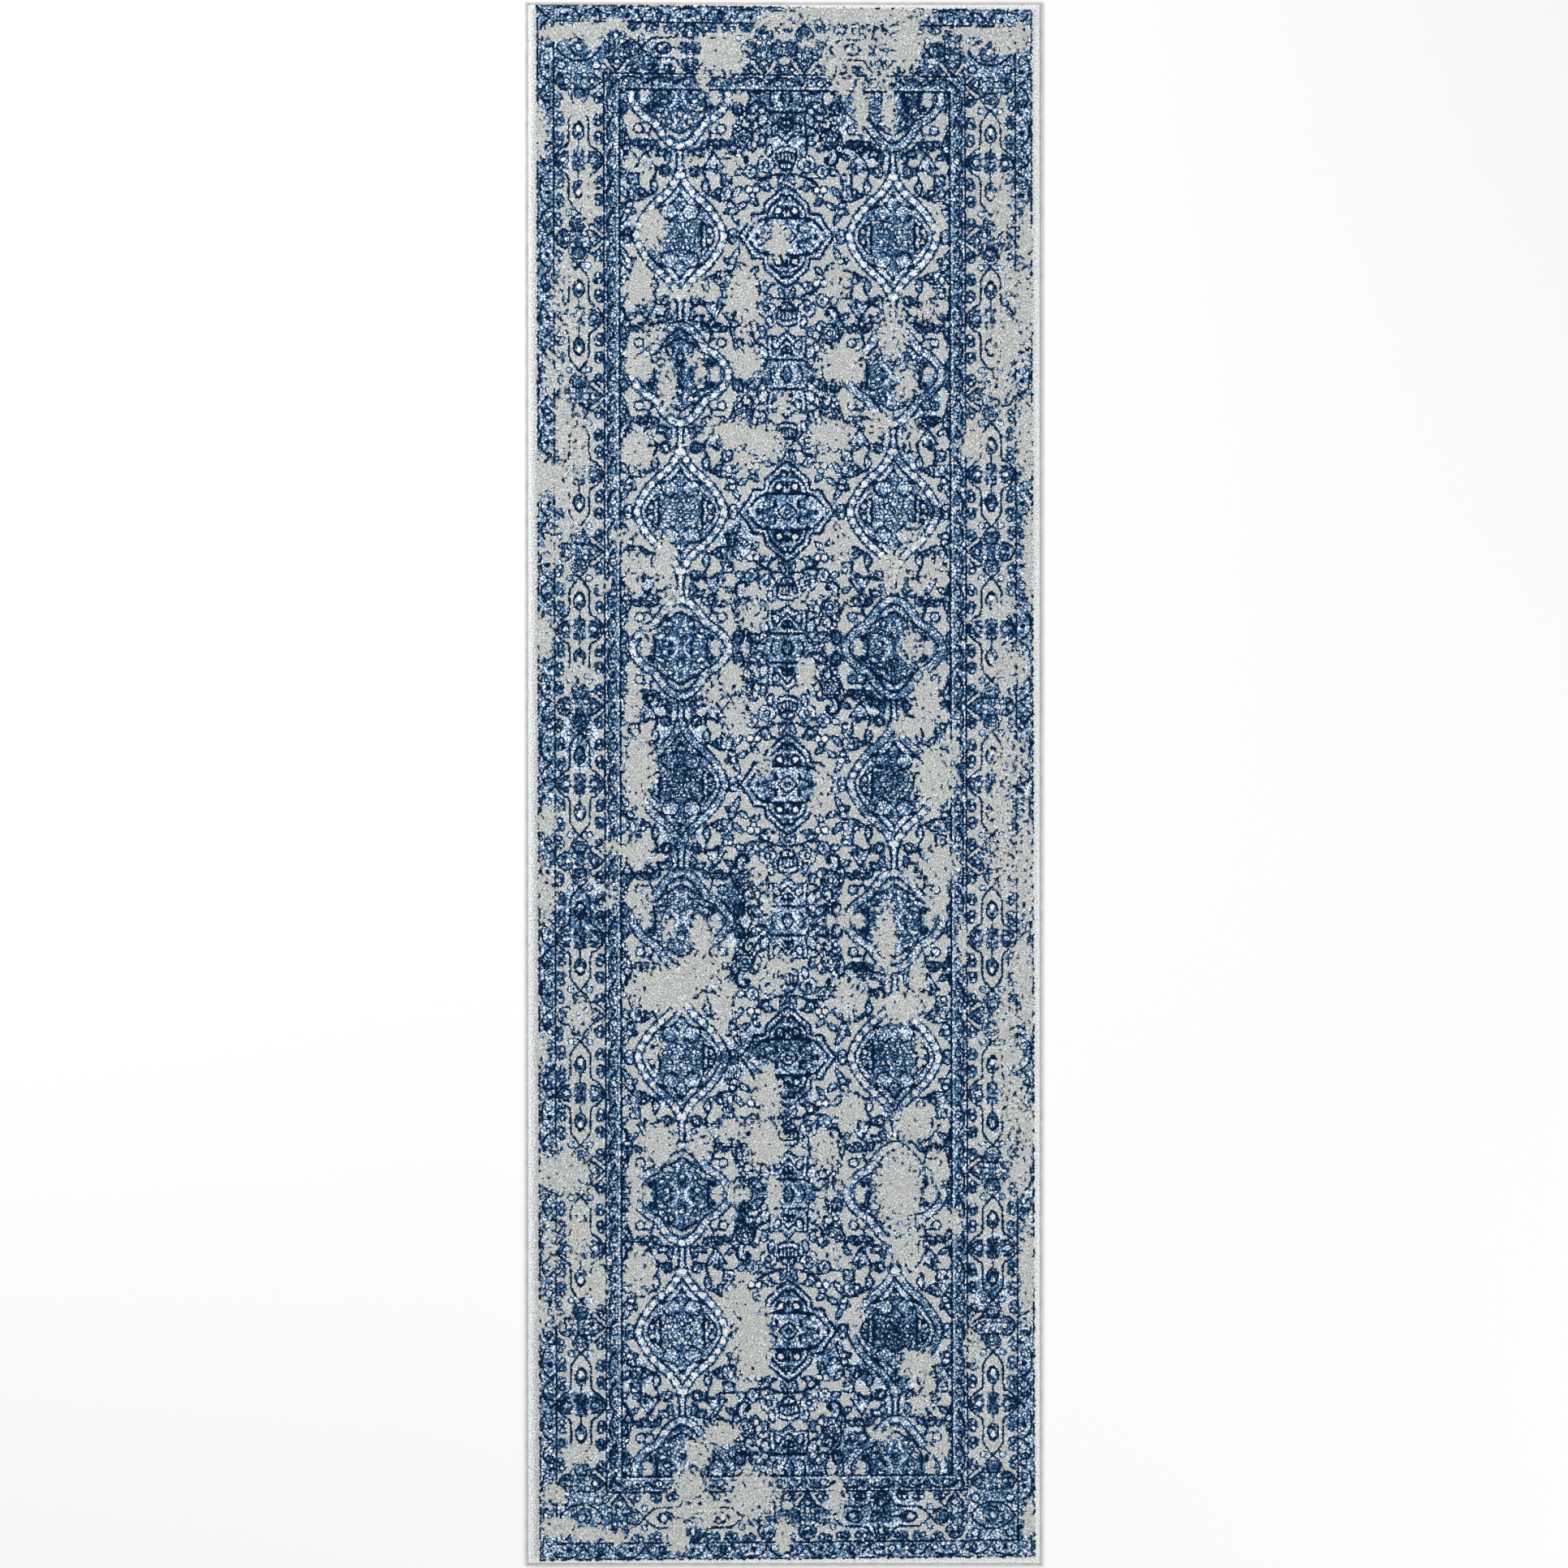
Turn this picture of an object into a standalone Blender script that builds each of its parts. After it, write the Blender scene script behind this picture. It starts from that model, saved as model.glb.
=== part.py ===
"""A hallway runner rug: woven ground, cut pile in five bands, and four overcast edges.

Metres, +Z up. The rug lies flat with its length along Y, and the origin is at the
middle of its underside.
"""

from math import cos, pi, sin

import bpy

QUARTER_TURN = pi / 2

# Overall size
RUG_WIDTH = 0.808
RUG_LENGTH = 2.440

# Layers, from the floor up
COAT_THICKNESS = 0.0006
GROUND_THICKNESS = 0.0024
PILE_HEIGHT = 0.0068
LAYER_GAP = 0.0003

# Overcast edge
CORD_DIAMETER = 0.0024
CORD_SIDES = 20
YARN_THICKNESS = 0.0006
LIP_LENGTH = 0.0014
BEND_SEGMENTS = 10

# Widths of the bands of the pile, from the edge inwards
SIDE_MARGIN = 0.0140
END_MARGIN = 0.0075
OUTER_GUARD_WIDTH = 0.0265
MAIN_BORDER_WIDTH = 0.0780
INNER_GUARD_WIDTH = 0.0245

# Finish
PILE_BEVEL = 0.0010
BEVEL_SEGMENTS = 2

# Distances that follow from the sizes above
CHANNEL_REACH = max(CORD_DIAMETER, GROUND_THICKNESS) / 2 + LAYER_GAP
MIDDLE_HEIGHT = max(
    CHANNEL_REACH + YARN_THICKNESS,
    GROUND_THICKNESS / 2 + LAYER_GAP + COAT_THICKNESS,
)
GROUND_BOTTOM = MIDDLE_HEIGHT - GROUND_THICKNESS / 2
COAT_BOTTOM = GROUND_BOTTOM - LAYER_GAP - COAT_THICKNESS
PILE_BOTTOM = GROUND_BOTTOM + GROUND_THICKNESS + LAYER_GAP
CORD_INSET = CHANNEL_REACH + YARN_THICKNESS
GROUND_INSET = CORD_INSET + CORD_DIAMETER / 2 + LAYER_GAP
OVERCAST_WIDTH = GROUND_INSET + LIP_LENGTH
PILE_INSET = OVERCAST_WIDTH + LAYER_GAP

GREY_PILE = (0.55, 0.53, 0.49)
BLUE_PILE = (0.20, 0.26, 0.36)
NAVY_PILE = (0.09, 0.12, 0.21)
WHITE_YARN = (0.86, 0.85, 0.81)
JUTE = (0.52, 0.44, 0.33)
LATEX = (0.72, 0.69, 0.61)
COTTON = (0.80, 0.77, 0.70)


def clear_scene():
    """Empties the scene, so that the rug is all it holds."""
    for thing in list(bpy.data.objects):
        bpy.data.objects.remove(thing, do_unlink=True)


def finish(name, colour, roughness):
    """A plain Principled material of one yarn or coating."""
    material = bpy.data.materials.new(name)
    material.use_nodes = True
    shader = material.node_tree.nodes["Principled BSDF"]
    shader.inputs["Base Color"].default_value = (*colour, 1.0)
    shader.inputs["Roughness"].default_value = roughness
    shader.inputs["Metallic"].default_value = 0.0
    return material


def adopt(thing, name, material, rug):
    """Names an object, gives it its material and puts it in the rug's collection."""
    thing.name = name
    thing.data.name = name
    thing.data.materials.clear()
    thing.data.materials.append(material)
    for collection in list(thing.users_collection):
        collection.objects.unlink(thing)
    rug.objects.link(thing)
    return thing


def slab(name, width, length, bottom, thickness, material, rug):
    """A flat layer, centred on the rug, from its bottom up."""
    bpy.ops.mesh.primitive_cube_add(size=1, location=(0, 0, bottom + thickness / 2))
    layer = bpy.context.object
    layer.scale = (width, length, thickness)
    bpy.ops.object.transform_apply(location=False, rotation=False, scale=True)
    return adopt(layer, name, material, rug)


def soften(layer):
    """Rounds the edges of a band of pile a little."""
    bevel = layer.modifiers.new("rounded_edges", "BEVEL")
    bevel.width = PILE_BEVEL
    bevel.segments = BEVEL_SEGMENTS
    bevel.limit_method = "ANGLE"


def pile_band(name, size, side_width, end_width, material, rug, cutters):
    """A rectangular frame of pile. Returns the size of what fits in its middle."""
    width, length = size
    inner_width = width - 2 * side_width
    inner_length = length - 2 * end_width
    band = slab(name, width, length, PILE_BOTTOM, PILE_HEIGHT, material, rug)
    opening = slab(
        name + "_opening",
        inner_width,
        inner_length,
        PILE_BOTTOM - PILE_HEIGHT,
        3 * PILE_HEIGHT,
        material,
        cutters,
    )
    opening.hide_render = True
    opening.display_type = "WIRE"
    cut = band.modifiers.new("middle", "BOOLEAN")
    cut.operation = "DIFFERENCE"
    cut.solver = "EXACT"
    cut.object = opening
    soften(band)
    return inner_width - 2 * LAYER_GAP, inner_length - 2 * LAYER_GAP


def make_pile(rug, cutters):
    """The five bands of the pile, each starting where the one outside it ends."""
    grey = finish("grey_pile", GREY_PILE, 0.95)
    blue = finish("blue_pile", BLUE_PILE, 0.95)
    navy = finish("navy_pile", NAVY_PILE, 0.95)
    size = (RUG_WIDTH - 2 * PILE_INSET, RUG_LENGTH - 2 * PILE_INSET)
    bands = (
        ("margin_pile", SIDE_MARGIN, END_MARGIN, grey),
        ("outer_guard_pile", OUTER_GUARD_WIDTH, OUTER_GUARD_WIDTH, navy),
        ("main_border_pile", MAIN_BORDER_WIDTH, MAIN_BORDER_WIDTH, blue),
        ("inner_guard_pile", INNER_GUARD_WIDTH, INNER_GUARD_WIDTH, navy),
    )
    for name, side_width, end_width, material in bands:
        size = pile_band(name, size, side_width, end_width, material, rug, cutters)
    field = slab("field_pile", *size, PILE_BOTTOM, PILE_HEIGHT, blue, rug)
    soften(field)


def make_ground(rug):
    """The woven ground that holds the tufts, and the latex coat under it."""
    slab(
        "ground_weave",
        RUG_WIDTH - 2 * GROUND_INSET,
        RUG_LENGTH - 2 * GROUND_INSET,
        GROUND_BOTTOM,
        GROUND_THICKNESS,
        finish("jute_weave", JUTE, 0.9),
        rug,
    )
    slab(
        "back_coat",
        RUG_WIDTH - 2 * PILE_INSET,
        RUG_LENGTH - 2 * PILE_INSET,
        COAT_BOTTOM,
        COAT_THICKNESS,
        finish("latex_coat", LATEX, 0.8),
        rug,
    )


def edge_run(name, outline, start, turn, length, material, rug):
    """Sweeps a closed outline, drawn across the edge, along one side of the rug."""
    curve = bpy.data.curves.new(name, "CURVE")
    curve.dimensions = "2D"
    curve.fill_mode = "BOTH"
    curve.extrude = length / 2
    spline = curve.splines.new("POLY")
    spline.points.add(len(outline) - 1)
    for point, (across, up) in zip(spline.points, outline):
        point.co = (across, up, 0.0, 1.0)
    spline.use_cyclic_u = True
    run = bpy.data.objects.new(name, curve)
    run.location = start
    run.rotation_euler = (QUARTER_TURN, 0.0, turn)
    bpy.context.scene.collection.objects.link(run)
    return adopt(run, name, material, rug)


def arc(radius, steps):
    """Points of a half circle that bulges outwards, from its lowest to its highest."""
    points = []
    for step in range(steps + 1):
        angle = -QUARTER_TURN + 2 * QUARTER_TURN * step / steps
        points.append((radius * cos(angle), radius * sin(angle)))
    return points


def overcast_outline():
    """The wrapped yarn in section: round the cord, with a lip over and under the ground."""
    outer = CHANNEL_REACH + YARN_THICKNESS
    lip = OVERCAST_WIDTH - CORD_INSET
    outside = [(-lip, -outer), *arc(outer, BEND_SEGMENTS), (-lip, outer)]
    inside = [(-lip, -CHANNEL_REACH), *arc(CHANNEL_REACH, BEND_SEGMENTS)]
    inside.append((-lip, CHANNEL_REACH))
    return outside + inside[::-1]


def cord_outline():
    """The edge cord in section."""
    radius = CORD_DIAMETER / 2
    points = []
    for step in range(CORD_SIDES):
        angle = 4 * QUARTER_TURN * step / CORD_SIDES
        points.append((radius * cos(angle), radius * sin(angle)))
    return points


def make_edges(rug):
    """Each side has its own cord, laid beside the ground and wrapped with yarn."""
    cotton = finish("cotton_cord", COTTON, 0.9)
    yarn = finish("overcast_yarn", WHITE_YARN, 0.85)
    side_reach = RUG_WIDTH / 2 - CORD_INSET
    end_reach = RUG_LENGTH / 2 - CORD_INSET
    end_length = RUG_WIDTH - 2 * (OVERCAST_WIDTH + LAYER_GAP)
    sides = (
        ("right", (side_reach, 0.0), 0.0, RUG_LENGTH),
        ("head", (0.0, end_reach), QUARTER_TURN, end_length),
        ("left", (-side_reach, 0.0), 2 * QUARTER_TURN, RUG_LENGTH),
        ("foot", (0.0, -end_reach), 3 * QUARTER_TURN, end_length),
    )
    for side, (x, y), turn, length in sides:
        place = (x, y, MIDDLE_HEIGHT)
        edge_run("edge_cord_" + side, cord_outline(), place, turn, length, cotton, rug)
        edge_run("overcast_" + side, overcast_outline(), place, turn, length, yarn, rug)


clear_scene()
runner = bpy.data.collections.new("runner_rug")
openings = bpy.data.collections.new("cutters")
bpy.context.scene.collection.children.link(runner)
bpy.context.scene.collection.children.link(openings)
make_ground(runner)
make_pile(runner, openings)
make_edges(runner)
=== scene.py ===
import math

import bmesh
import bpy
import numpy as np
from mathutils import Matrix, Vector


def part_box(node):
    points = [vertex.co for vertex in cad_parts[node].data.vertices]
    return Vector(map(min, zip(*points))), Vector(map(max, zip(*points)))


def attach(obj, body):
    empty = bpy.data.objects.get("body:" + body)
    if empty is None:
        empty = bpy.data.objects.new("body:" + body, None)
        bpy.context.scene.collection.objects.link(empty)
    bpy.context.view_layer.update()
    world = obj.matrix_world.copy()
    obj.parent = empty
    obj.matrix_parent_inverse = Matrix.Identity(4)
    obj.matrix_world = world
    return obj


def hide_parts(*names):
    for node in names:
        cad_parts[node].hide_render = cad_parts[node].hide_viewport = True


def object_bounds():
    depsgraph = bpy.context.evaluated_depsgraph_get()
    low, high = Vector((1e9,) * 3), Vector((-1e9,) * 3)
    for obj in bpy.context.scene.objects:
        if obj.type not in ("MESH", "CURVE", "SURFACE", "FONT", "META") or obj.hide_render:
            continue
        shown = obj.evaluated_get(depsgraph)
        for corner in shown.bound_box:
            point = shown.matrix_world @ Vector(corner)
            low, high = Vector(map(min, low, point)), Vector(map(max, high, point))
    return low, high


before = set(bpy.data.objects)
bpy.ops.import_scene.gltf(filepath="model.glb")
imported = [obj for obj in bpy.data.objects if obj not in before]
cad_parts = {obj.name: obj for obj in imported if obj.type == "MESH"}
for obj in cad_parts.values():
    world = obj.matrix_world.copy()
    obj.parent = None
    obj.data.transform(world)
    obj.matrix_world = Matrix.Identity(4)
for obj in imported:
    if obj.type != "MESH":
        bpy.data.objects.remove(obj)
cad_low, cad_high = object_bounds()


# Back coat: the thin brown size brushed on the underside. It has soaked into the weft, so
# the rows of weft still show through it as low ribs across the rug.
COAT_BROWN = (0.42, 0.33, 0.22, 1.0)
COAT_SHADE = (0.30, 0.22, 0.14, 1.0)
WEFT_PITCH = 0.004
RIB_HEIGHT = 0.00022


def fibre_group():
    """Loose fibre on yarn and cloth: a fine height for the bump and a soft, larger shade."""
    group = bpy.data.node_groups.new("fibre", "ShaderNodeTree")
    for name, value in (("Fineness", 900.0), ("Patch Size", 40.0)):
        socket = group.interface.new_socket(name, in_out="INPUT", socket_type="NodeSocketFloat")
        socket.default_value = value
    group.interface.new_socket("Height", in_out="OUTPUT", socket_type="NodeSocketFloat")
    group.interface.new_socket("Shade", in_out="OUTPUT", socket_type="NodeSocketFloat")
    into = group.nodes.new("NodeGroupInput")
    out = group.nodes.new("NodeGroupOutput")
    place = group.nodes.new("ShaderNodeTexCoord")
    fine = group.nodes.new("ShaderNodeTexNoise")
    fine.inputs["Detail"].default_value = 3.0
    fine.inputs["Roughness"].default_value = 0.65
    broad = group.nodes.new("ShaderNodeTexNoise")
    broad.inputs["Detail"].default_value = 4.0
    for noise, size in ((fine, "Fineness"), (broad, "Patch Size")):
        group.links.new(place.outputs["Object"], noise.inputs["Vector"])
        group.links.new(into.outputs[size], noise.inputs["Scale"])
    group.links.new(fine.outputs["Fac"], out.inputs["Height"])
    group.links.new(broad.outputs["Fac"], out.inputs["Shade"])
    return group


fibre = fibre_group()


def cloth_material(name, colour, shade, fineness, patch_size, roughness, bump):
    """A matt cloth or yarn that wanders between two colours, with fibre in its bump."""
    made = bpy.data.materials.new(name)
    made.use_nodes = True
    nodes, links = made.node_tree.nodes, made.node_tree.links
    shader = nodes["Principled BSDF"]
    shader.inputs["Roughness"].default_value = roughness
    shader.inputs["Sheen Weight"].default_value = 0.12
    shader.inputs["Specular IOR Level"].default_value = 0.2
    yarn = nodes.new("ShaderNodeGroup")
    yarn.node_tree = fibre
    yarn.inputs["Fineness"].default_value = fineness
    yarn.inputs["Patch Size"].default_value = patch_size
    tone = nodes.new("ShaderNodeValToRGB")
    tone.color_ramp.elements[0].position = 0.3
    tone.color_ramp.elements[0].color = shade
    tone.color_ramp.elements[1].position = 0.7
    tone.color_ramp.elements[1].color = colour
    relief = nodes.new("ShaderNodeBump")
    relief.inputs["Strength"].default_value = 0.6
    relief.inputs["Distance"].default_value = bump
    links.new(yarn.outputs["Shade"], tone.inputs["Fac"])
    links.new(tone.outputs["Color"], shader.inputs["Base Color"])
    links.new(yarn.outputs["Height"], relief.inputs["Height"])
    links.new(relief.outputs["Normal"], shader.inputs["Normal"])
    return made


def as_piece(work, name, material, slot_name, *nodes):
    """Makes the worked mesh a piece that rides on the rug and stands for its CAD nodes."""
    bmesh.ops.recalc_face_normals(work, faces=work.faces)
    mesh = bpy.data.meshes.new(name)
    work.to_mesh(mesh)
    work.free()
    mesh.materials.append(material)
    piece = bpy.data.objects.new(name, mesh)
    bpy.context.scene.collection.objects.link(piece)
    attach(piece, "root")
    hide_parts(*nodes)
    return piece


def cloth_sheet(low, high, columns, rows):
    """A closed thin sheet between two corners, with enough rows to hold its ribs."""
    work = bmesh.new()
    bmesh.ops.create_grid(work, x_segments=columns, y_segments=rows, size=0.5)
    spread = max(v.co.x for v in work.verts) * 2
    bmesh.ops.scale(work, vec=((high.x - low.x) / spread, (high.y - low.y) / spread, 1), verts=work.verts)
    middle = (low + high) / 2
    bmesh.ops.translate(work, vec=(middle.x, middle.y, high.z), verts=work.verts)
    under = bmesh.ops.extrude_face_region(work, geom=list(work.faces))
    dropped = [v for v in under["geom"] if isinstance(v, bmesh.types.BMVert)]
    bmesh.ops.translate(work, vec=(0, 0, low.z - high.z), verts=dropped)
    return work, dropped


coat_low, coat_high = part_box("back_coat")
coat_rows = round((coat_high.y - coat_low.y) / WEFT_PITCH) * 2
work, underside = cloth_sheet(coat_low, coat_high, 4, coat_rows)
for point in underside:
    turn = (point.co.y - coat_low.y) / WEFT_PITCH * math.tau
    point.co.z += RIB_HEIGHT * (0.5 + 0.5 * math.cos(turn))
coat_finish = cloth_material("latex_size", COAT_BROWN, COAT_SHADE, 1400.0, 25.0, 0.8, 0.0004)
back_coat = as_piece(work, "back_coat_sheet", coat_finish, "latex_coat", "back_coat")


# Ground weave: the jute and cotton cloth that every tuft is woven into. It lies between
# the size and the pile, and its picks cross from edge to edge.
JUTE = (0.50, 0.40, 0.26, 1.0)
JUTE_SHADE = (0.36, 0.27, 0.16, 1.0)
PICK_PITCH = 0.008
PICK_HEIGHT = 0.0003

ground_low, ground_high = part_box("ground_weave")
ground_rows = round((ground_high.y - ground_low.y) / PICK_PITCH) * 2
work, underside = cloth_sheet(ground_low, ground_high, 4, ground_rows)
for point in work.verts:
    turn = (point.co.y - ground_low.y) / PICK_PITCH * math.tau
    sink = PICK_HEIGHT * (0.5 + 0.5 * math.cos(turn))
    point.co.z += sink if point.co.z < (ground_low.z + ground_high.z) / 2 else -sink
jute_finish = cloth_material("jute_cloth", JUTE, JUTE_SHADE, 1100.0, 60.0, 0.9, 0.0006)
ground_weave = as_piece(work, "ground_weave_sheet", jute_finish, "jute_weave", "ground_weave")


# Field pile: the tufts inside the borders, cut to one height and dyed navy, blue and pale
# on warm grey. The weaver follows a drawn card, so the card is drawn here first: each
# motif is a stroke, spot, leaf or blossom in millimetres, and the loom repeats it.
NAVY = 1.0
BLUE = 0.62
PALE = 0.22
BARE = 0.0
WHITE = -0.4
CARD_STEP = 0.5
YARN_SPREAD = 0.25
SOFT_EDGE = 0.9
LEAF_SHAPE = ((0.0, 0.0), (0.2, 0.7), (0.45, 1.0), (0.72, 0.8), (1.0, 0.0))
BAND_LINE = 2.8
PETAL_NOTCH = 0.78
HEART_SHARE = 0.27
HEART_RING = 0.17
BARE_BELOW = 0.04


def blank_card(width, length, dye):
    """A card of one dye, with a cell for every step across and along."""
    return np.full((int(length / CARD_STEP) + 1, int(width / CARD_STEP) + 1), float(dye))


def lay_dye(card, low, high, cover, dye):
    """Lays dye over the part of the card between two corners, as cover(across, along) says."""
    height, width = card.shape
    first_row = max(int(low[1] / CARD_STEP) - 1, 0)
    last_row = min(int(high[1] / CARD_STEP) + 2, height)
    first_column = max(int(low[0] / CARD_STEP) - 1, 0)
    last_column = min(int(high[0] / CARD_STEP) + 2, width)
    if first_row >= last_row or first_column >= last_column:
        return
    along, across = np.mgrid[first_row:last_row, first_column:last_column] * CARD_STEP
    amount = np.clip(cover(across, along), 0.0, 1.0)
    part = card[first_row:last_row, first_column:last_column]
    part += (dye - part) * amount


def eased(points, closed=False):
    """Cuts the corners of a drawn line twice, so that it runs as a curve."""
    line = np.array(points, float)
    for _ in range(2):
        ahead = np.roll(line, -1, axis=0) if closed else line[1:]
        start = line if closed else line[:-1]
        cut = np.empty((2 * len(start), 2))
        cut[0::2] = start * 0.75 + ahead * 0.25
        cut[1::2] = start * 0.25 + ahead * 0.75
        line = cut if closed else np.vstack([line[:1], cut, line[-1:]])
    return line


def stroke(card, points, width, dye, closed=False, sharp=False):
    """A line of dye of one width, curved unless it is asked for sharp."""
    line = np.array(points, float) if sharp else eased(points, closed)
    if closed:
        line = np.vstack([line, line[:1]])

    def cover(across, along):
        nearest = np.full(across.shape, 1e6)
        for (ax, ay), (bx, by) in zip(line[:-1], line[1:]):
            run = (bx - ax) ** 2 + (by - ay) ** 2 + 1e-9
            share = np.clip(((across - ax) * (bx - ax) + (along - ay) * (by - ay)) / run, 0, 1)
            gap = np.hypot(across - ax - share * (bx - ax), along - ay - share * (by - ay))
            nearest = np.minimum(nearest, gap)
        return (width / 2 + YARN_SPREAD - nearest) / SOFT_EDGE + 0.5

    lay_dye(card, line.min(0) - width, line.max(0) + width, cover, dye)


def strokes(card, rows):
    """A run of strokes in turn, each given as its points, width and dye."""
    for points, width, dye in rows:
        stroke(card, points, width, dye)


def patch(card, points, dye, sharp=False):
    """A closed area of dye."""
    line = np.array(points, float) if sharp else eased(points, True)

    def cover(across, along):
        inside = np.zeros(across.shape, bool)
        for (ax, ay), (bx, by) in zip(line, np.roll(line, -1, axis=0)):
            if ay != by:
                crosses = (along < ay) != (along < by)
                inside ^= crosses & (across < ax + (along - ay) * (bx - ax) / (by - ay))
        return inside.astype(float)

    lay_dye(card, line.min(0), line.max(0), cover, dye)


def spot(card, x, y, half_x, half_y, dye, turn=0.0, edge=0.0):
    """A round or oval spot, with an outline of navy where edge is its width."""
    sine, cosine = math.sin(math.radians(turn)), math.cos(math.radians(turn))

    def covered(grow):
        def cover(across, along):
            a = (across - x) * cosine + (along - y) * sine
            b = (along - y) * cosine - (across - x) * sine
            away = np.hypot(a / (half_x + grow), b / (half_y + grow))
            return (1.0 - away) * min(half_x, half_y) / SOFT_EDGE + 0.5

        return cover

    reach = max(half_x, half_y) + edge + 1
    if edge:
        lay_dye(card, (x - reach, y - reach), (x + reach, y + reach), covered(edge), NAVY)
    lay_dye(card, (x - reach, y - reach), (x + reach, y + reach), covered(0.0), dye)


def dots(card, rows, dye, edge=0.0):
    """Round spots of one dye, each given as x, y and radius."""
    for x, y, radius in rows:
        spot(card, x, y, radius, radius, dye, edge=edge)


def dotted_band(card, line, width, places, half_x, half_y):
    """A band with a navy line on each side and white dots laid along it."""
    stroke(card, line, width, NAVY)
    stroke(card, line, width - 2 * BAND_LINE, BLUE * 0.66)
    for x, y in places:
        spot(card, x, y, half_x, half_y, WHITE)


def leaf(card, base, tip, width, dye, edge=2.4, bend=0.0, vein=0.0):
    """A leaf or bud from base to tip, outlined in navy, with a vein where asked."""
    base, tip = np.array(base, float), np.array(tip, float)
    run = tip - base
    side = np.array([-run[1], run[0]]) / np.hypot(*run)
    right, left = [], []
    for share, swell in LEAF_SHAPE:
        middle = base + run * share + side * bend * math.sin(math.pi * share)
        right.append(middle + side * swell * width / 2)
        left.append(middle - side * swell * width / 2)
    outline = right + left[-2:0:-1]
    patch(card, outline, dye)
    stroke(card, outline, edge, NAVY, closed=True)
    if vein:
        stroke(card, [base + run * 0.2, base + run * 0.5 + side * bend, base + run * 0.8], vein, NAVY)


def blossom(card, x, y, radius, petals, dye, heart=WHITE, turn=0.0, edge=2.4):
    """A round flower with scalloped petals, a navy outline and a ringed heart."""
    outline = []
    for step in range(petals * 4):
        angle = math.radians(turn) + step * math.pi / petals / 2
        reach = radius * (PETAL_NOTCH if step % 4 == 0 else 1.0)
        outline.append((x + reach * math.cos(angle), y + reach * math.sin(angle)))
    patch(card, outline, dye)
    stroke(card, outline, edge, NAVY, closed=True)
    spot(card, x, y, radius * HEART_SHARE, radius * HEART_SHARE, heart, edge=radius * HEART_RING)


def heathered(card, dye, reach=2.6, share=0.42):
    """Fills the narrow gaps between motifs with dyed tufts, so that only the wide ones stay bare."""
    up = np.fft.fftfreq(card.shape[0], CARD_STEP)[:, None]
    over = np.fft.rfftfreq(card.shape[1], CARD_STEP)[None]
    spread = np.exp(-2 * (math.pi * reach) ** 2 * (up ** 2 + over ** 2))
    near = np.fft.irfft2(np.fft.rfft2(np.abs(card) > BARE_BELOW) * spread, s=card.shape)
    return np.where((np.abs(card) < BARE_BELOW) & (near > share), dye, card)


FIELD_ACROSS = 166.0
FIELD_ALONG = 212.5
card = blank_card(FIELD_ACROSS, FIELD_ALONG, BARE)

# The middle medallion: stepped outlines one inside the other, barred twice, with eyes.
patch(card, [(0, 0), (73, 0), (67, 11), (57, 24), (54, 35), (35, 34), (34, 52), (20, 62), (6, 75),
             (0, 79)], BLUE, sharp=True)
strokes(card, [
    ([(74, 0), (67, 11), (61, 18), (57, 24), (55, 30), (54, 35), (45, 34), (35, 34), (35, 45), (33, 52),
      (27, 56), (20, 62), (13, 70), (6, 75), (-2, 80)], 3.4, NAVY),
    ([(70, -1), (62, 10), (57, 16), (53, 23), (50, 28), (44, 30), (33, 31), (31, 38), (31, 46), (29, 50),
      (23, 55), (16, 61), (9, 66), (-2, 72)], 3.4, PALE),
    ([(62, 0), (56, 9), (48, 19), (41, 25), (30, 29), (28, 38), (25, 45), (19, 51), (12, 57), (6, 62),
      (0, 65)], 3.0, NAVY),
    ([(56, 0), (52, 8), (45, 16), (38, 22), (31, 25)], 3.0, PALE),
    ([(27, 29), (26, 36), (22, 42), (16, 48), (9, 51), (0, 50)], 3.4, PALE),
])
stroke(card, [(0, 28), (30, 28)], 3.0, NAVY, sharp=True)
patch(card, [(1, 22), (8, 18), (18, 18), (29, 25), (18, 26), (4, 26)], PALE * 1.2)
strokes(card, [
    ([(13, 12), (13, 19)], 4.0, PALE * 0.7),
    ([(18.5, 8), (18.5, 17)], 4.0, NAVY),
    ([(31, 24), (35, 26)], 6.0, NAVY),
])
spot(card, 0, 0, 15, 15, BLUE)
strokes(card, [
    ([(19, 0), (13, 6), (8, 13), (0, 17)], 2.6, PALE),
    ([(15, 0), (10, 5), (6, 10), (0, 13)], 2.8, NAVY),
    ([(11, 0), (7, 4), (4, 7), (0, 9)], 2.4, PALE),
])
spot(card, 0, 0, 6, 4, NAVY)
spot(card, 0, 0, 2.4, 1.6, PALE)
patch(card, [(23, -6), (38, 0), (23, 6)], BARE, sharp=True)
stroke(card, [(22, 7), (39, 1)], 2.0, NAVY)
spot(card, 45, 0, 2.6, 5, NAVY)
stroke(card, [(48, 8), (51, 4), (52, 0)], 3.2, PALE * 0.4)
dots(card, [(42, 8, 3.4), (32, 13, 3.0), (38, 19, 3.0), (49, 12, 2.4), (24, 13, 2.2), (58, 5, 2.2)],
     PALE * 0.5)
spot(card, 12.5, 39, 4.2, 4.2, WHITE, edge=4.2)
stroke(card, [(2, 33), (3, 38), (1, 42)], 3.0, PALE)
stroke(card, [(5, 30), (20, 31)], 2.2, NAVY)
spot(card, 0, 42, 3.4, 6, NAVY)
spot(card, 0, 61, 12, 6, NAVY)
spot(card, 5, 58, 3.0, 2.6, BLUE * 0.7)
spot(card, 0, 66, 2.6, 2.2, PALE)

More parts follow.
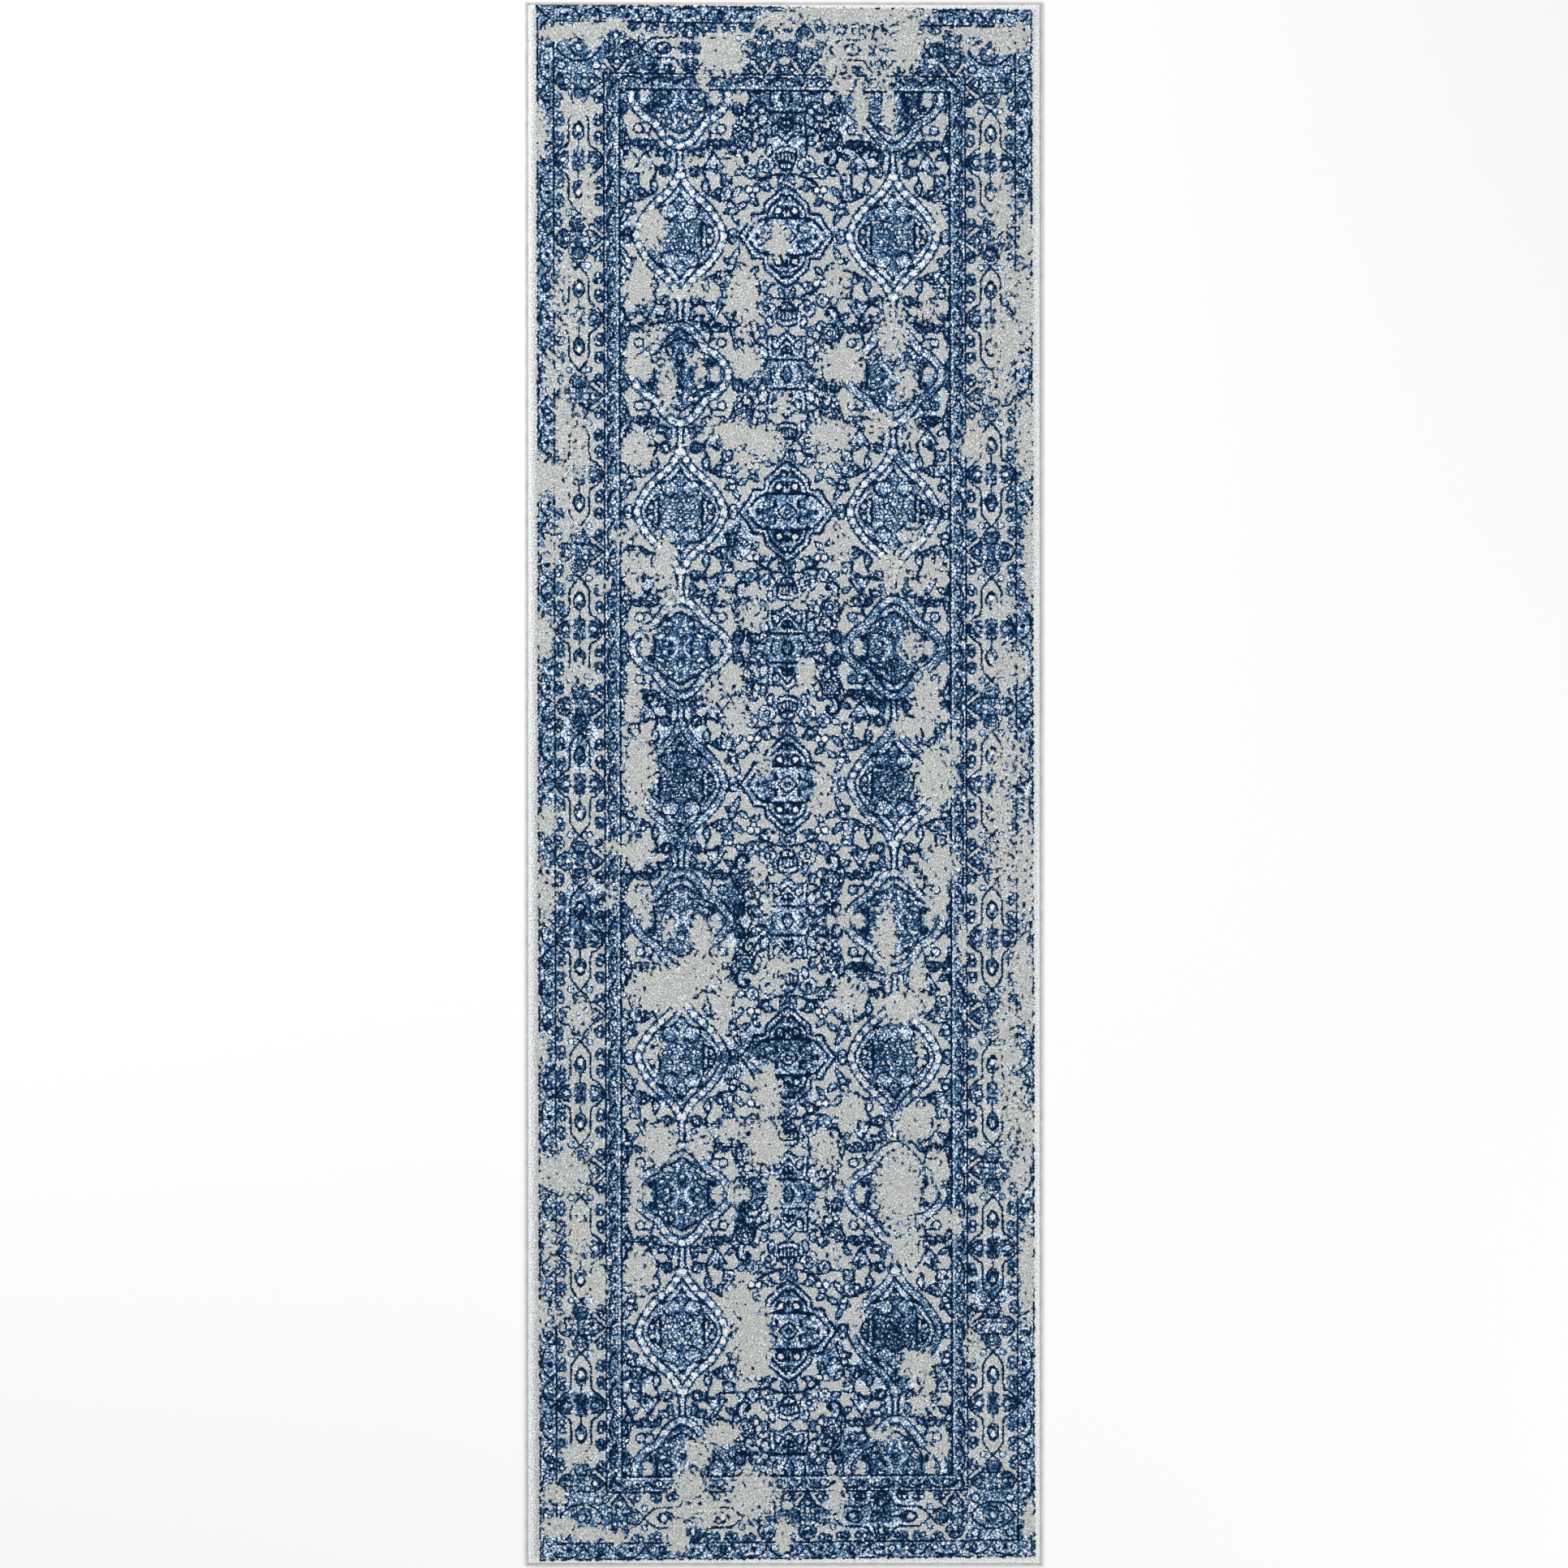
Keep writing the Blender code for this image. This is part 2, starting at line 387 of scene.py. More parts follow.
# Under it: paired leaves, a forked vine, and the first row of flowers.
leaf(card, (3, 98), (13, 77), 9, BLUE * 0.6)
strokes(card, [
    ([(5, 96), (14, 95), (21, 94), (27, 90), (36, 87), (43, 85), (48, 80), (46, 75)], 3.2, NAVY),
    ([(28, 90), (42, 89), (52, 90), (57, 93)], 2.6, NAVY),
    ([(22, 94), (27, 99), (31, 105)], 3.2, NAVY),
])
patch(card, [(18, 73), (27, 68), (36, 70), (46, 76), (40, 83), (31, 88), (28, 80)], BLUE)
stroke(card, [(18, 74), (26, 76), (29, 84), (31, 88), (38, 84), (45, 78), (37, 75), (34, 68), (28, 73),
              (18, 74)], 2.4, NAVY)
spot(card, 29, 73, 2.4, 2.4, PALE)
spot(card, 36, 82, 4.0, 2.4, PALE * 0.4, turn=-35)
blossom(card, 56, 99, 10.5, 4, PALE, heart=BLUE, turn=45)
spot(card, 51, 100, 2.6, 2.6, PALE * 0.3)
spot(card, 61, 99, 2.6, 2.6, PALE * 0.3)
leaf(card, (66, 101), (82, 96), 11, PALE)
blossom(card, 31.5, 111, 14, 5, PALE * 0.8, heart=BLUE, turn=10)
for x, y in ((23, 112), (40, 114), (33, 120), (28, 102), (38, 103)):
    spot(card, x, y, 3.2, 3.2, WHITE if y > 105 else BLUE)
    stroke(card, [(x, y), (31.5, 111)], 0.9, NAVY)
spot(card, 31.5, 111, 3.2, 3.2, BLUE * 0.8, edge=2.2)
patch(card, [(0, 101), (7, 102), (12, 112), (16, 120), (16, 133), (10, 138), (0, 138)], BLUE)
stroke(card, [(0, 101), (7, 102), (11, 108), (13, 114), (16, 120), (16, 133), (10, 138), (-2, 138)], 2.8,
       NAVY)
spot(card, 5, 108, 3.2, 3.2, PALE * 0.6, edge=2.0)
patch(card, [(0, 112), (12, 112), (11, 119), (0, 118)], NAVY)
for x in (0.5, 5.5, 11):
    stroke(card, [(x, 118), (x * 0.95, 128)], 2.6, PALE * 0.8)
strokes(card, [
    ([(2.8, 114), (2.6, 129)], 2.2, NAVY),
    ([(8.5, 114), (8, 129)], 2.4, NAVY),
    ([(0, 130), (8, 129), (13, 126)], 2.4, NAVY),
    ([(0, 134), (8, 133), (12.5, 130)], 3.6, PALE * 0.5),
])
leaf(card, (24, 142), (29, 120), 11, PALE * 0.7, edge=2.8)
stroke(card, [(20, 119), (19, 128), (20, 136)], 2.0, PALE)

# Triple berry, lily and the sprays round the ogee.
stroke(card, [(53, 58), (55, 68), (48, 80)], 2.2, NAVY)
leaf(card, (57, 60), (43, 46), 9.5, BLUE * 0.7)
for x, y, size in ((53, 64, 3.6), (47.5, 71.5, 4.2), (58, 71.5, 4.6)):
    spot(card, x, y, size, size, WHITE if y > 70 else PALE * 0.4, edge=2.8)
leaf(card, (77, 41), (60, 53), 9.5, PALE * 1.3)
leaf(card, (84, 41), (73, 17), 9, PALE * 1.3, bend=1.5)
leaf(card, (83, 43), (98, 34), 10, BLUE)
spot(card, 84.5, 38, 4.2, 3.6, PALE * 0.4, edge=2.6)
spot(card, 86.5, 48, 4.6, 4.0, PALE * 0.6, edge=2.8)
stroke(card, [(79, 45), (83, 52), (91, 53)], 3.0, NAVY)
leaf(card, (85, 58), (70, 78), 10, PALE * 1.3)
spot(card, 90.5, 66, 3.6, 6.0, PALE * 0.4, edge=2.4)
patch(card, [(96, 55), (109, 54), (114, 63), (109, 72), (98, 72), (94, 64)], BLUE)
stroke(card, [(86, 56), (96, 54), (108, 54), (115, 63), (110, 73), (98, 73)], 2.8, NAVY)
spot(card, 99, 59, 3.0, 3.6, PALE)
spot(card, 104.5, 68, 4.4, 2.6, PALE * 0.7)
stroke(card, [(103, 54), (104, 64), (101, 72)], 2.6, NAVY)
leaf(card, (108, 60), (118, 66), 7, BLUE)
stroke(card, [(116, 60), (121, 64), (126, 64)], 2.6, NAVY)
leaf(card, (124, 87), (124, 64), 11.5, PALE * 1.2, bend=2.5, edge=3.0)
stroke(card, [(124, 86), (128, 94), (130, 100), (129, 106), (124, 111), (119, 120)], 3.2, NAVY)
patch(card, [(84, 79), (91, 81), (97, 77), (103, 79), (100, 87), (103, 95), (96, 94), (90, 96), (84, 93),
             (86, 86)], BLUE)
stroke(card, [(84, 79), (91, 81), (97, 77), (104, 79), (100, 87), (103, 96), (96, 94), (90, 96), (84, 93),
              (86, 86)], 2.6, NAVY, closed=True)
spot(card, 93, 81.5, 3.0, 2.2, PALE)
spot(card, 90, 90, 4.0, 3.0, PALE * 0.4, edge=1.8)
stroke(card, [(97, 84), (96.5, 93)], 2.2, PALE)

# The tulip, its cup and the stem down to the ringed bud.
patch(card, [(96, 106), (108, 95), (113, 99), (127, 101), (122, 116), (114, 130)], BLUE)
strokes(card, [
    ([(96, 105), (102, 111), (108, 122), (114, 130), (118, 122), (122, 112), (127, 101)], 3.2, NAVY),
    ([(96, 105), (105, 108), (109, 112), (108, 102), (107, 94), (113, 99), (115, 104), (121, 104),
      (127, 101)], 2.8, NAVY),
    ([(103, 108), (107, 115), (111, 121)], 2.8, PALE),
    ([(114, 106), (117, 108), (116, 116)], 3.2, PALE * 0.4),
    ([(112, 110), (113, 122)], 2.4, PALE),
    ([(124, 105), (119, 117)], 2.6, PALE),
])
spot(card, 118, 133.5, 3.6, 3.6, PALE * 0.3, edge=3.0)
leaf(card, (117, 147), (103, 132), 12, BLUE, bend=-2)
leaf(card, (119, 147), (133, 131), 10, BLUE, bend=2)
strokes(card, [
    ([(114, 128), (122, 136), (126, 140)], 2.0, NAVY),
    ([(118, 147), (118, 156), (121, 163), (125, 170)], 3.0, NAVY),
    ([(106, 158), (118, 157)], 2.4, NAVY),
])
spot(card, 101.5, 164, 5.4, 5.4, WHITE * 0.5, edge=3.2)
spot(card, 142.5, 99.5, 7.0, 7.4, BLUE, edge=2.6)
leaf(card, (139, 106), (149, 91), 9, BLUE * 0.7, edge=2.0)
stroke(card, [(130, 105), (136, 105), (143, 107)], 2.6, NAVY)
patch(card, [(127, 120), (133, 123), (141, 122), (148, 115), (152, 120), (149, 130), (140, 134),
             (132, 132)], BLUE)
stroke(card, [(127, 120), (133, 123), (141, 122), (148, 115), (150, 124), (146, 131), (138, 134),
              (131, 131)], 2.6, NAVY, closed=True)
stroke(card, [(134, 127), (142, 127)], 2.2, PALE)
leaf(card, (151, 131), (150, 110), 12, BLUE, bend=-4)
stroke(card, [(153, 116), (156, 121), (157, 126)], 2.8, PALE * 0.7)

# Sprays on the left of the cup: hooked leaf, big rosette, eggs and dark palmettes.
stroke(card, [(64, 118), (66, 113), (72, 112), (77, 116), (78, 124), (76, 131), (71, 136)], 11, NAVY)
stroke(card, [(66, 116), (72, 115), (75, 122), (74, 129), (70, 134)], 6, PALE * 0.7)
spot(card, 64, 117, 3.4, 4.0, NAVY)
stroke(card, [(70, 122), (71, 127), (68, 131)], 1.8, NAVY)
leaf(card, (83, 128), (99, 118), 9, BLUE * 0.8)
stroke(card, [(84, 129), (90, 136), (88, 146), (83, 158), (80, 166)], 2.8, NAVY)
spot(card, 82, 135, 4.6, 4.2, BLUE * 0.6, edge=3.0)
leaf(card, (92, 138), (104, 148), 9, BLUE, edge=2.6)
stroke(card, [(100, 134), (112, 140)], 2.2, NAVY)
blossom(card, 67.5, 149, 15, 6, BLUE * 0.55, heart=BLUE, edge=2.8)
spot(card, 67, 149, 8.6, 8.6, BLUE * 0.5, edge=2.0)
spot(card, 67, 149, 3.4, 3.4, BLUE * 0.5, edge=3.0)
patch(card, [(46, 134), (54, 129), (60, 134), (56, 141), (50, 140)], BLUE)
stroke(card, [(46, 136), (50, 129), (56, 131), (62, 136)], 2.6, NAVY)
spot(card, 50, 141, 3.2, 5.0, WHITE * 0.6, edge=2.0)
spot(card, 39, 147, 6.0, 7.5, BLUE * 0.7, edge=2.8)
spot(card, 37, 152, 2.4, 2.4, PALE)
spot(card, 47, 152, 4.0, 6.4, WHITE * 0.4, turn=-20, edge=2.4)
strokes(card, [
    ([(33, 140), (33, 152), (38, 157), (45, 156)], 2.4, NAVY),
    ([(52, 150), (51, 159), (46, 165), (36, 167)], 2.6, NAVY),
    ([(55, 160), (54, 168), (49, 176), (44, 186)], 2.8, NAVY),
])
spot(card, 36.5, 178.5, 5.4, 9.0, PALE * 0.6, turn=22, edge=3.0)
spot(card, 47, 171.5, 2.8, 5.0, WHITE * 0.6, edge=2.0)
stroke(card, [(57, 176), (60, 168), (65, 165), (68, 171), (66, 180)], 7.4, NAVY)
stroke(card, [(59, 172), (63, 167), (66, 172), (65, 178)], 3.4, WHITE * 0.6)
dots(card, [(74, 165, 3.4), (74, 175, 3.0), (66, 187, 3.2), (79, 168, 2.4), (70, 181, 2.6)],
     PALE * 0.5, edge=2.4)
spot(card, 76, 196, 6.4, 9.0, BLUE, edge=3.4)
spot(card, 75, 190, 2.0, 5.0, NAVY)
stroke(card, [(68, 186), (68, 197), (74, 206)], 3.4, NAVY)
leaf(card, (37, 207), (62, 187), 15, BLUE, edge=2.8, vein=1.6)
spot(card, 46, 199, 3.0, 2.6, PALE * 0.5)
spot(card, 53, 195, 2.6, 2.2, PALE)
spot(card, 38, 192.5, 4.4, 4.2, PALE * 0.5, edge=2.4)
stroke(card, [(62, 190), (63, 199), (57, 206), (56, 213)], 3.0, NAVY)
patch(card, [(28, 200), (44, 208), (52, 213), (28, 213)], BLUE * 0.8)

# The bar over the dark palmette at the end of the repeat.
patch(card, [(0, 156), (10, 160), (28, 155), (28, 189), (0, 189)], BLUE, sharp=True)
strokes(card, [
    ([(-2, 143), (5, 149), (12, 156), (16, 155), (30, 154)], 2.8, NAVY),
    ([(0, 152), (5, 157), (10, 162), (19, 157)], 3.2, PALE * 0.5),
    ([(0, 157), (4, 161), (9, 169), (14, 174), (22, 173), (25, 165), (24, 157)], 2.8, NAVY),
])
spot(card, 17.5, 166, 4.2, 6.4, PALE * 0.7, turn=28, edge=2.6)
stroke(card, [(-2, 162), (5, 168), (11, 176), (17, 181)], 3.4, PALE * 0.6)
spot(card, 0, 177, 10, 9.5, NAVY)
spot(card, 3, 184, 2.2, 2.2, BLUE * 0.5)
spot(card, 4, 174, 2.0, 2.6, BLUE * 0.6)
stroke(card, [(26, 157), (27, 175), (24, 182)], 3.0, PALE * 0.7)
stroke(card, [(30, 154), (30, 170), (28, 184)], 2.4, NAVY)
stroke(card, [(0, 190), (27, 190)], 3.6, NAVY, sharp=True)
stroke(card, [(4, 186), (22, 186)], 2.2, PALE)
patch(card, [(0, 193), (27, 193), (27, 213), (0, 213)], BLUE * 0.75, sharp=True)
strokes(card, [
    ([(3, 196), (25, 196)], 2.8, PALE * 1.2),
    ([(7, 200), (16, 212)], 3.0, PALE * 0.5),
    ([(3, 201), (8, 211)], 3.2, NAVY),
    ([(20, 200), (25, 206), (26, 213)], 3.0, NAVY),
    ([(30, 192), (32, 202), (40, 207)], 2.6, NAVY),
])

# The little box that ties medallion and ogee together.
patch(card, [(76, -1), (92, -1), (91, 9), (78, 8)], BLUE, sharp=True)
stroke(card, [(77, 0), (78, 9), (84, 12), (91, 9), (91, 0)], 2.4, NAVY)
spot(card, 85, 5.5, 2.6, 3.4, PALE * 0.6)
spot(card, 85, 0, 1.6, 2.4, NAVY)
spot(card, 75, 11, 4.2, 3.0, BLUE * 0.4)

# The ogee: a white-dotted band between two navy lines, and the garden inside it.
patch(card, [(101, -1), (105, 18), (113, 32), (124, 46), (138, 58), (150, 70), (160, 84), (167, 96),
             (167, -1)], BLUE * 0.86, sharp=True)
OGEE = [(97.5, -3), (98.5, 5), (103, 17), (109, 27), (118, 40), (130, 52), (144, 63.5), (154, 75),
        (161, 86), (167, 97)]
OGEE_DOTS = ((98, 1), (102.5, 15), (110.5, 29.5), (121, 43), (134, 55.5), (147, 67), (156.5, 80), (163, 93))
dotted_band(card, OGEE, 14.0, OGEE_DOTS, 4.8, 4.4)
stroke(card, [(108, -1), (110, 8), (116, 18), (124, 28), (132, 38), (143, 47), (153, 57), (163, 70)], 4.0,
       PALE * 0.9)
stroke(card, [(112, -1), (113, 6), (119, 16), (128, 27)], 2.4, NAVY)
spot(card, 119.8, 8, 3.4, 3.4, WHITE * 0.5, edge=3.0)
leaf(card, (133, 25), (122, 14), 9, NAVY)
strokes(card, [
    ([(124, 19), (130, 25)], 1.8, PALE),
    ([(127, 3), (129, 9), (128, 15)], 3.4, PALE * 0.6),
    ([(131, 0), (133, 8), (132, 20)], 4.4, NAVY),
])
patch(card, [(134, 14), (145, 25), (134, 26)], BARE, sharp=True)
patch(card, [(124, 31), (133, 29), (133, 40)], BARE, sharp=True)
blossom(card, 149, 36, 13, 7, BLUE * 0.8, heart=BLUE, edge=2.6)
stroke(card, [(139, 36), (141, 42), (146, 45)], 2.8, PALE * 0.7)
stroke(card, [(160, 34), (158, 41), (152, 46)], 2.8, PALE * 0.7)
spot(card, 150, 36, 6.4, 6.4, PALE * 1.2)
dots(card, [(147, 8, 3.0), (156.5, 7.5, 3.0), (154, 18, 2.8), (140, 8, 2.4), (161, 17, 2.4),
            (166, 12, 3.0)], PALE * 0.5, edge=1.6)
spot(card, 166, 0, 5, 4, NAVY)
spot(card, 166, 0, 2, 1.6, PALE)
strokes(card, [
    ([(134, 43), (140, 47)], 4.0, NAVY),
    ([(147, 51), (153, 55), (158, 62)], 4.4, PALE * 0.4),
    ([(152, 49), (159, 55), (164, 62), (167, 68)], 3.2, NAVY),
])
spot(card, 163, 56, 3.0, 2.6, PALE)

# The stem under the ogee and the cup band that opens from it.
patch(card, [(163, 97), (167, 97), (167, 136), (160, 136)], BLUE, sharp=True)
stroke(card, [(157, 96), (160.5, 104), (162, 116), (161.5, 126), (158, 136)], 3.0, NAVY)
stroke(card, [(166, 98), (166, 134)], 3.8, PALE * 0.5)
patch(card, [(167, 139), (150, 150), (138, 166), (128, 180), (112, 190), (102, 204), (100, 213),
             (167, 213)], BLUE, sharp=True)
CUP = [(167, 137), (156, 139), (146, 147), (137.5, 157), (131, 167), (125.5, 174.5), (115, 180),
       (105, 187), (97, 197), (91, 207), (90, 214)]
CUP_DOTS = ((165, 137), (150.5, 143), (138, 156.5), (128.5, 170.5), (113, 180.5), (99, 194), (91, 208))
dotted_band(card, CUP, 15.0, CUP_DOTS, 4.2, 4.0)
strokes(card, [
    ([(167, 151), (158, 154), (150, 160)], 6.0, BARE),
    ([(167, 156), (160, 158), (150, 166), (143, 168)], 2.8, NAVY),
    ([(141, 172), (136, 182), (122, 187)], 2.6, PALE),
])
dots(card, [(141, 175, 3.0), (149.5, 174.5, 3.4), (133, 184, 3.0), (145, 187, 2.6), (166, 186, 3.4)],
     WHITE * 0.4, edge=2.0)
stroke(card, [(158, 167), (161, 174), (156, 184)], 3.0, PALE * 0.7)
spot(card, 135, 194, 6.4, 2.8, WHITE * 0.3, turn=-15, edge=2.2)
patch(card, [(104, 213), (103, 206), (108, 198), (113, 200), (121, 206), (120, 213)], BARE)
spot(card, 117, 197, 4.0, 5.0, NAVY)
strokes(card, [
    ([(122, 190), (125, 199), (126, 213)], 3.4, NAVY),
    ([(150, 196), (156, 202), (161, 211)], 3.4, PALE * 0.5),
    ([(160, 192), (167, 198)], 2.8, NAVY),
])
spot(card, 142, 206, 4.4, 3.0, PALE, edge=1.8)
spot(card, 149, 206, 2.4, 4.0, NAVY)
field_card = heathered(card, BLUE * 0.9)

# Main border card: half of one repeat, from a rosette's middle to a cartouche's middle,
# and from the inner line out to the outer one.
MAIN_REPEAT = 120.5
MAIN_WIDTH = 78.1
MIDDLE_LINE = 39.5


def off_middle(out, points):
    """Turns (along, away from the middle line) into (along, across), to one side of that line."""
    return [(along, MIDDLE_LINE + out * away) for along, away in points]


card = blank_card(MAIN_REPEAT, MAIN_WIDTH, BARE)
for clump in ([(16, 1), (16, 14), (22, 18), (32, 16), (36, 8), (35, 1)],
              [(50, 1), (50, 10), (56, 17), (66, 18), (70, 14), (70, 1)],
              [(76, 1), (75, 12), (82, 17), (92, 15), (98, 6), (98, 1)]):
    patch(card, clump, BLUE * 1.2)
for clump in ([(14, 78), (18, 66), (28, 62), (38, 66), (42, 78)],
              [(44, 78), (46, 66), (58, 60), (68, 61), (71, 70), (70, 78)],
              [(75, 78), (76, 63), (86, 60), (97, 62), (102, 72), (106, 78)]):
    patch(card, clump, BLUE * 0.9)
for x, y in ((20, 8), (30, 10), (55, 10), (64, 8), (82, 9), (92, 8), (24, 70), (36, 72), (52, 68), (63, 70),
             (82, 68), (94, 69)):
    spot(card, x, y, 3.0, 2.4, PALE, turn=30, edge=2.4)
for out in (1, -1):
    stroke(card, off_middle(out, [(39.3, 0), (58, 15.5), (66, 15.5), (98, 15.5), (101, 24), (107, 31),
                                  (114, 36.5), (122, 38)]), 3.0, NAVY)
    patch(card, off_middle(out, [(109, 13), (108, 22), (111, 29), (116, 33), (122, 34), (122, 13)]), BLUE)
    stroke(card, off_middle(out, [(109.5, 12), (107.5, 19), (109, 25), (112, 26), (112, 30), (116, 33.5),
                                  (122, 34)]), 2.6, NAVY)
    spot(card, 120.5, MIDDLE_LINE + out * 22, 4.0, 5.0, PALE * 0.6, edge=2.4)
    spot(card, 110.8, MIDDLE_LINE + out * 12.5, 3.6, 3.6, WHITE * 0.4)
patch(card, [(103.5, 30), (122, 29), (122, 50), (103.5, 49)], BLUE * 1.05)
for x, y in ((106, 33), (106, 46), (113, 35), (113, 44), (120, 39.5)):
    spot(card, x, y, 2.2, 2.2, NAVY)
stroke(card, [(88, 39.5), (105, 39.5)], 2.2, NAVY)
patch(card, [(59, 39.5), (66, 47), (77, 50.5), (87, 47.5), (92, 39.5), (87, 31.5), (77, 28.5), (66, 32)],
      NAVY)
patch(card, [(65, 39.5), (70, 44.5), (78, 47.5), (86, 44.5), (89, 39.5), (86, 34.5), (78, 31.5),
             (70, 34.5)], BLUE)
spot(card, 72, 39.5, 4.6, 3.4, WHITE)
spot(card, 82, 39.5, 2.6, 3.0, NAVY)

# The rosette with its four pale spots, side lobes, crown and pointed foot.
for out in (1, -1):
    stroke(card, off_middle(out, [(39.3, 0), (34, 8), (28, 12), (17, 15), (12, 18)]), 2.6, NAVY)
patch(card, [(-1, 57), (13, 57), (29, 50), (34, 39.5), (29, 28), (13, 23), (-1, 23)], BARE)
spot(card, 21, 39.5, 11, 12, NAVY)
spot(card, 21, 39.5, 8.4, 9.6, PALE)
spot(card, 20, 39.5, 6.0, 7.6, BLUE, edge=1.6)
patch(card, [(-1, 33), (8, 34), (12, 39.5), (8, 45), (-1, 46)], BLUE)
for y in (48.5, 30):
    spot(card, 8.4, y, 3.2, 3.2, PALE * 0.5, edge=2.4)
patch(card, [(-1, 52), (9, 56), (14, 60), (12, 68), (8, 72), (-1, 76)], BLUE)
stroke(card, [(11, 55), (15, 60), (13, 67), (8.5, 72), (-2, 76)], 2.8, NAVY)
spot(card, 0, 58, 3.4, 3.4, PALE * 0.5, edge=2.4)
spot(card, 6, 65, 2.6, 3.2, NAVY)
patch(card, [(-1, 26), (9, 25), (14, 21), (9, 12), (-1, 1)], BLUE)
stroke(card, [(13, 25), (14, 20), (9.6, 14), (-1.5, 0)], 3.0, NAVY)
patch(card, [(-2, 27), (8, 19), (-2, 8)], NAVY, sharp=True)
patch(card, [(-2, 23), (5, 18), (-2, 12)], PALE * 0.6, sharp=True)
stroke(card, [(15, 24), (25, 21), (18, 12), (8, 2)], 2.0, NAVY)
for y in (54.5, 24.5):
    spot(card, 41, y, 4.0, 4.0, PALE * 0.6, edge=1.8)
main_card = heathered(card, BLUE * 0.9, 2.0, 0.52)

# Inner guard card: a running arcade with a pale flower under each arch.
INNER_REPEAT = 47.8
INNER_WIDTH = 24.3
inner_card = card = blank_card(INNER_REPEAT, INNER_WIDTH, BLUE * 0.82)
stroke(card, [(-2, 12), (6, 18), (17, 20), (29, 19), (37, 13), (41, 9), (50, 12)], 2.8, NAVY)
stroke(card, [(2, 21), (10, 22), (20, 22.5), (30, 22), (44, 21)], 1.4, PALE)
dots(card, [(10.5, 12, 2.6), (38.5, 14, 2.6), (0, 20, 2.2), (47.8, 20, 2.2), (20, 14, 1.8), (32, 8, 1.8)],
     NAVY)
spot(card, 25, 11, 4.6, 4.0, PALE, edge=2.0)
spot(card, 26, 11, 1.6, 1.6, BLUE)
spot(card, 1, 10, 3.0, 3.8, PALE, edge=1.6)
spot(card, 13, 8, 2.2, 1.8, PALE)
stroke(card, [(-1, 3.6), (49, 3.6)], 1.4, PALE, sharp=True)

# Outer guard card: a denser scroll of leaves and buds.
OUTER_REPEAT = 95.6
OUTER_WIDTH = 25.3
outer_card = card = blank_card(OUTER_REPEAT, OUTER_WIDTH, BLUE * 0.68)
stroke(card, [(0, 4), (3, 14), (12, 21), (30, 22), (44, 19), (51, 11), (54, 3)], 2.6, NAVY)
stroke(card, [(56, 4), (60, 14), (68, 20), (80, 21), (90, 13), (95, 4)], 2.4, NAVY)
spot(card, 21, 10, 4.0, 4.4, NAVY)
spot(card, 36, 11, 4.6, 4.2, PALE, edge=2.0)
spot(card, 36, 11, 1.8, 1.8, BLUE)
spot(card, 8, 9, 3.0, 4.2, PALE, edge=1.4)
spot(card, 58, 9, 3.0, 3.6, PALE, edge=1.6)
leaf(card, (68, 4), (69, 18), 9, BLUE)
spot(card, 83, 9, 4.8, 4.2, PALE, edge=1.8)
spot(card, 84, 8, 1.8, 1.8, BLUE)
for x, y in ((46, 4), (64, 21), (76, 15), (15, 16), (28, 17), (90, 20), (48, 14), (28, 5)):
    spot(card, x, y, 2.4, 2.0, PALE)

# Corner card, where the side and end borders meet: a tilted oval with a spot in each corner.
corner_card = card = blank_card(MAIN_WIDTH, MAIN_WIDTH, BLUE * 0.7)
stroke(card, [(2, 39), (20, 55), (38, 61), (58, 55), (77, 39), (58, 21), (38, 17), (20, 21)], 3.0, NAVY,
       closed=True)
spot(card, 39, 39, 16, 11, BLUE, edge=2.6, turn=45)
spot(card, 39, 39, 6.0, 4.0, PALE * 0.5, edge=2.2, turn=45)
for x, y in ((12, 12), (66, 12), (12, 66), (66, 66)):
    spot(card, x, y, 5.0, 5.0, PALE * 0.5, edge=3.0)


# Where each band of the pattern lies, measured out from its own middle, in millimetres.
# The borders sit a little to the right of the rug's middle, and the field a little more.
BAND_SHIFT = 2.8
FIELD_SHIFT = 5.6
LENGTH_SHIFT = -0.8
FIELD_EDGE = (257.2, 1073.4)
INNER_EDGE = (281.5, 1097.6)
MAIN_EDGE = (359.6, 1175.8)
OUTER_EDGE = (384.9, 1201.1)
LINE_WIDTH = 3.2
SIDE_ROSETTE = 1085.5
END_ROSETTE = 31.6
END_STRETCH = 1.048
SLOPE_STARTS = 0.35
HEAD_SLOPE = (-10.0, 5.0)
FOOT_SLOPE = (5.0, -3.2)
SIDE_LEAN = 2.5


def from_card(card, across, along):
    """Reads the card between its marks."""
    column = np.clip(across / CARD_STEP, 0, card.shape[1] - 1.001)
    row = np.clip(along / CARD_STEP, 0, card.shape[0] - 1.001)
    left, top = column.astype(int), row.astype(int)
    right_share, lower_share = column - left, row - top
    upper = card[top, left] * (1 - right_share) + card[top, left + 1] * right_share
    lower = card[top + 1, left] * (1 - right_share) + card[top + 1, left + 1] * right_share
    return upper * (1 - lower_share) + lower * lower_share


def there_and_back(distance, half):
    """Folds a distance into a motif that is woven forwards and then mirrored."""
    return np.abs((distance + half) % (2 * half) - half)


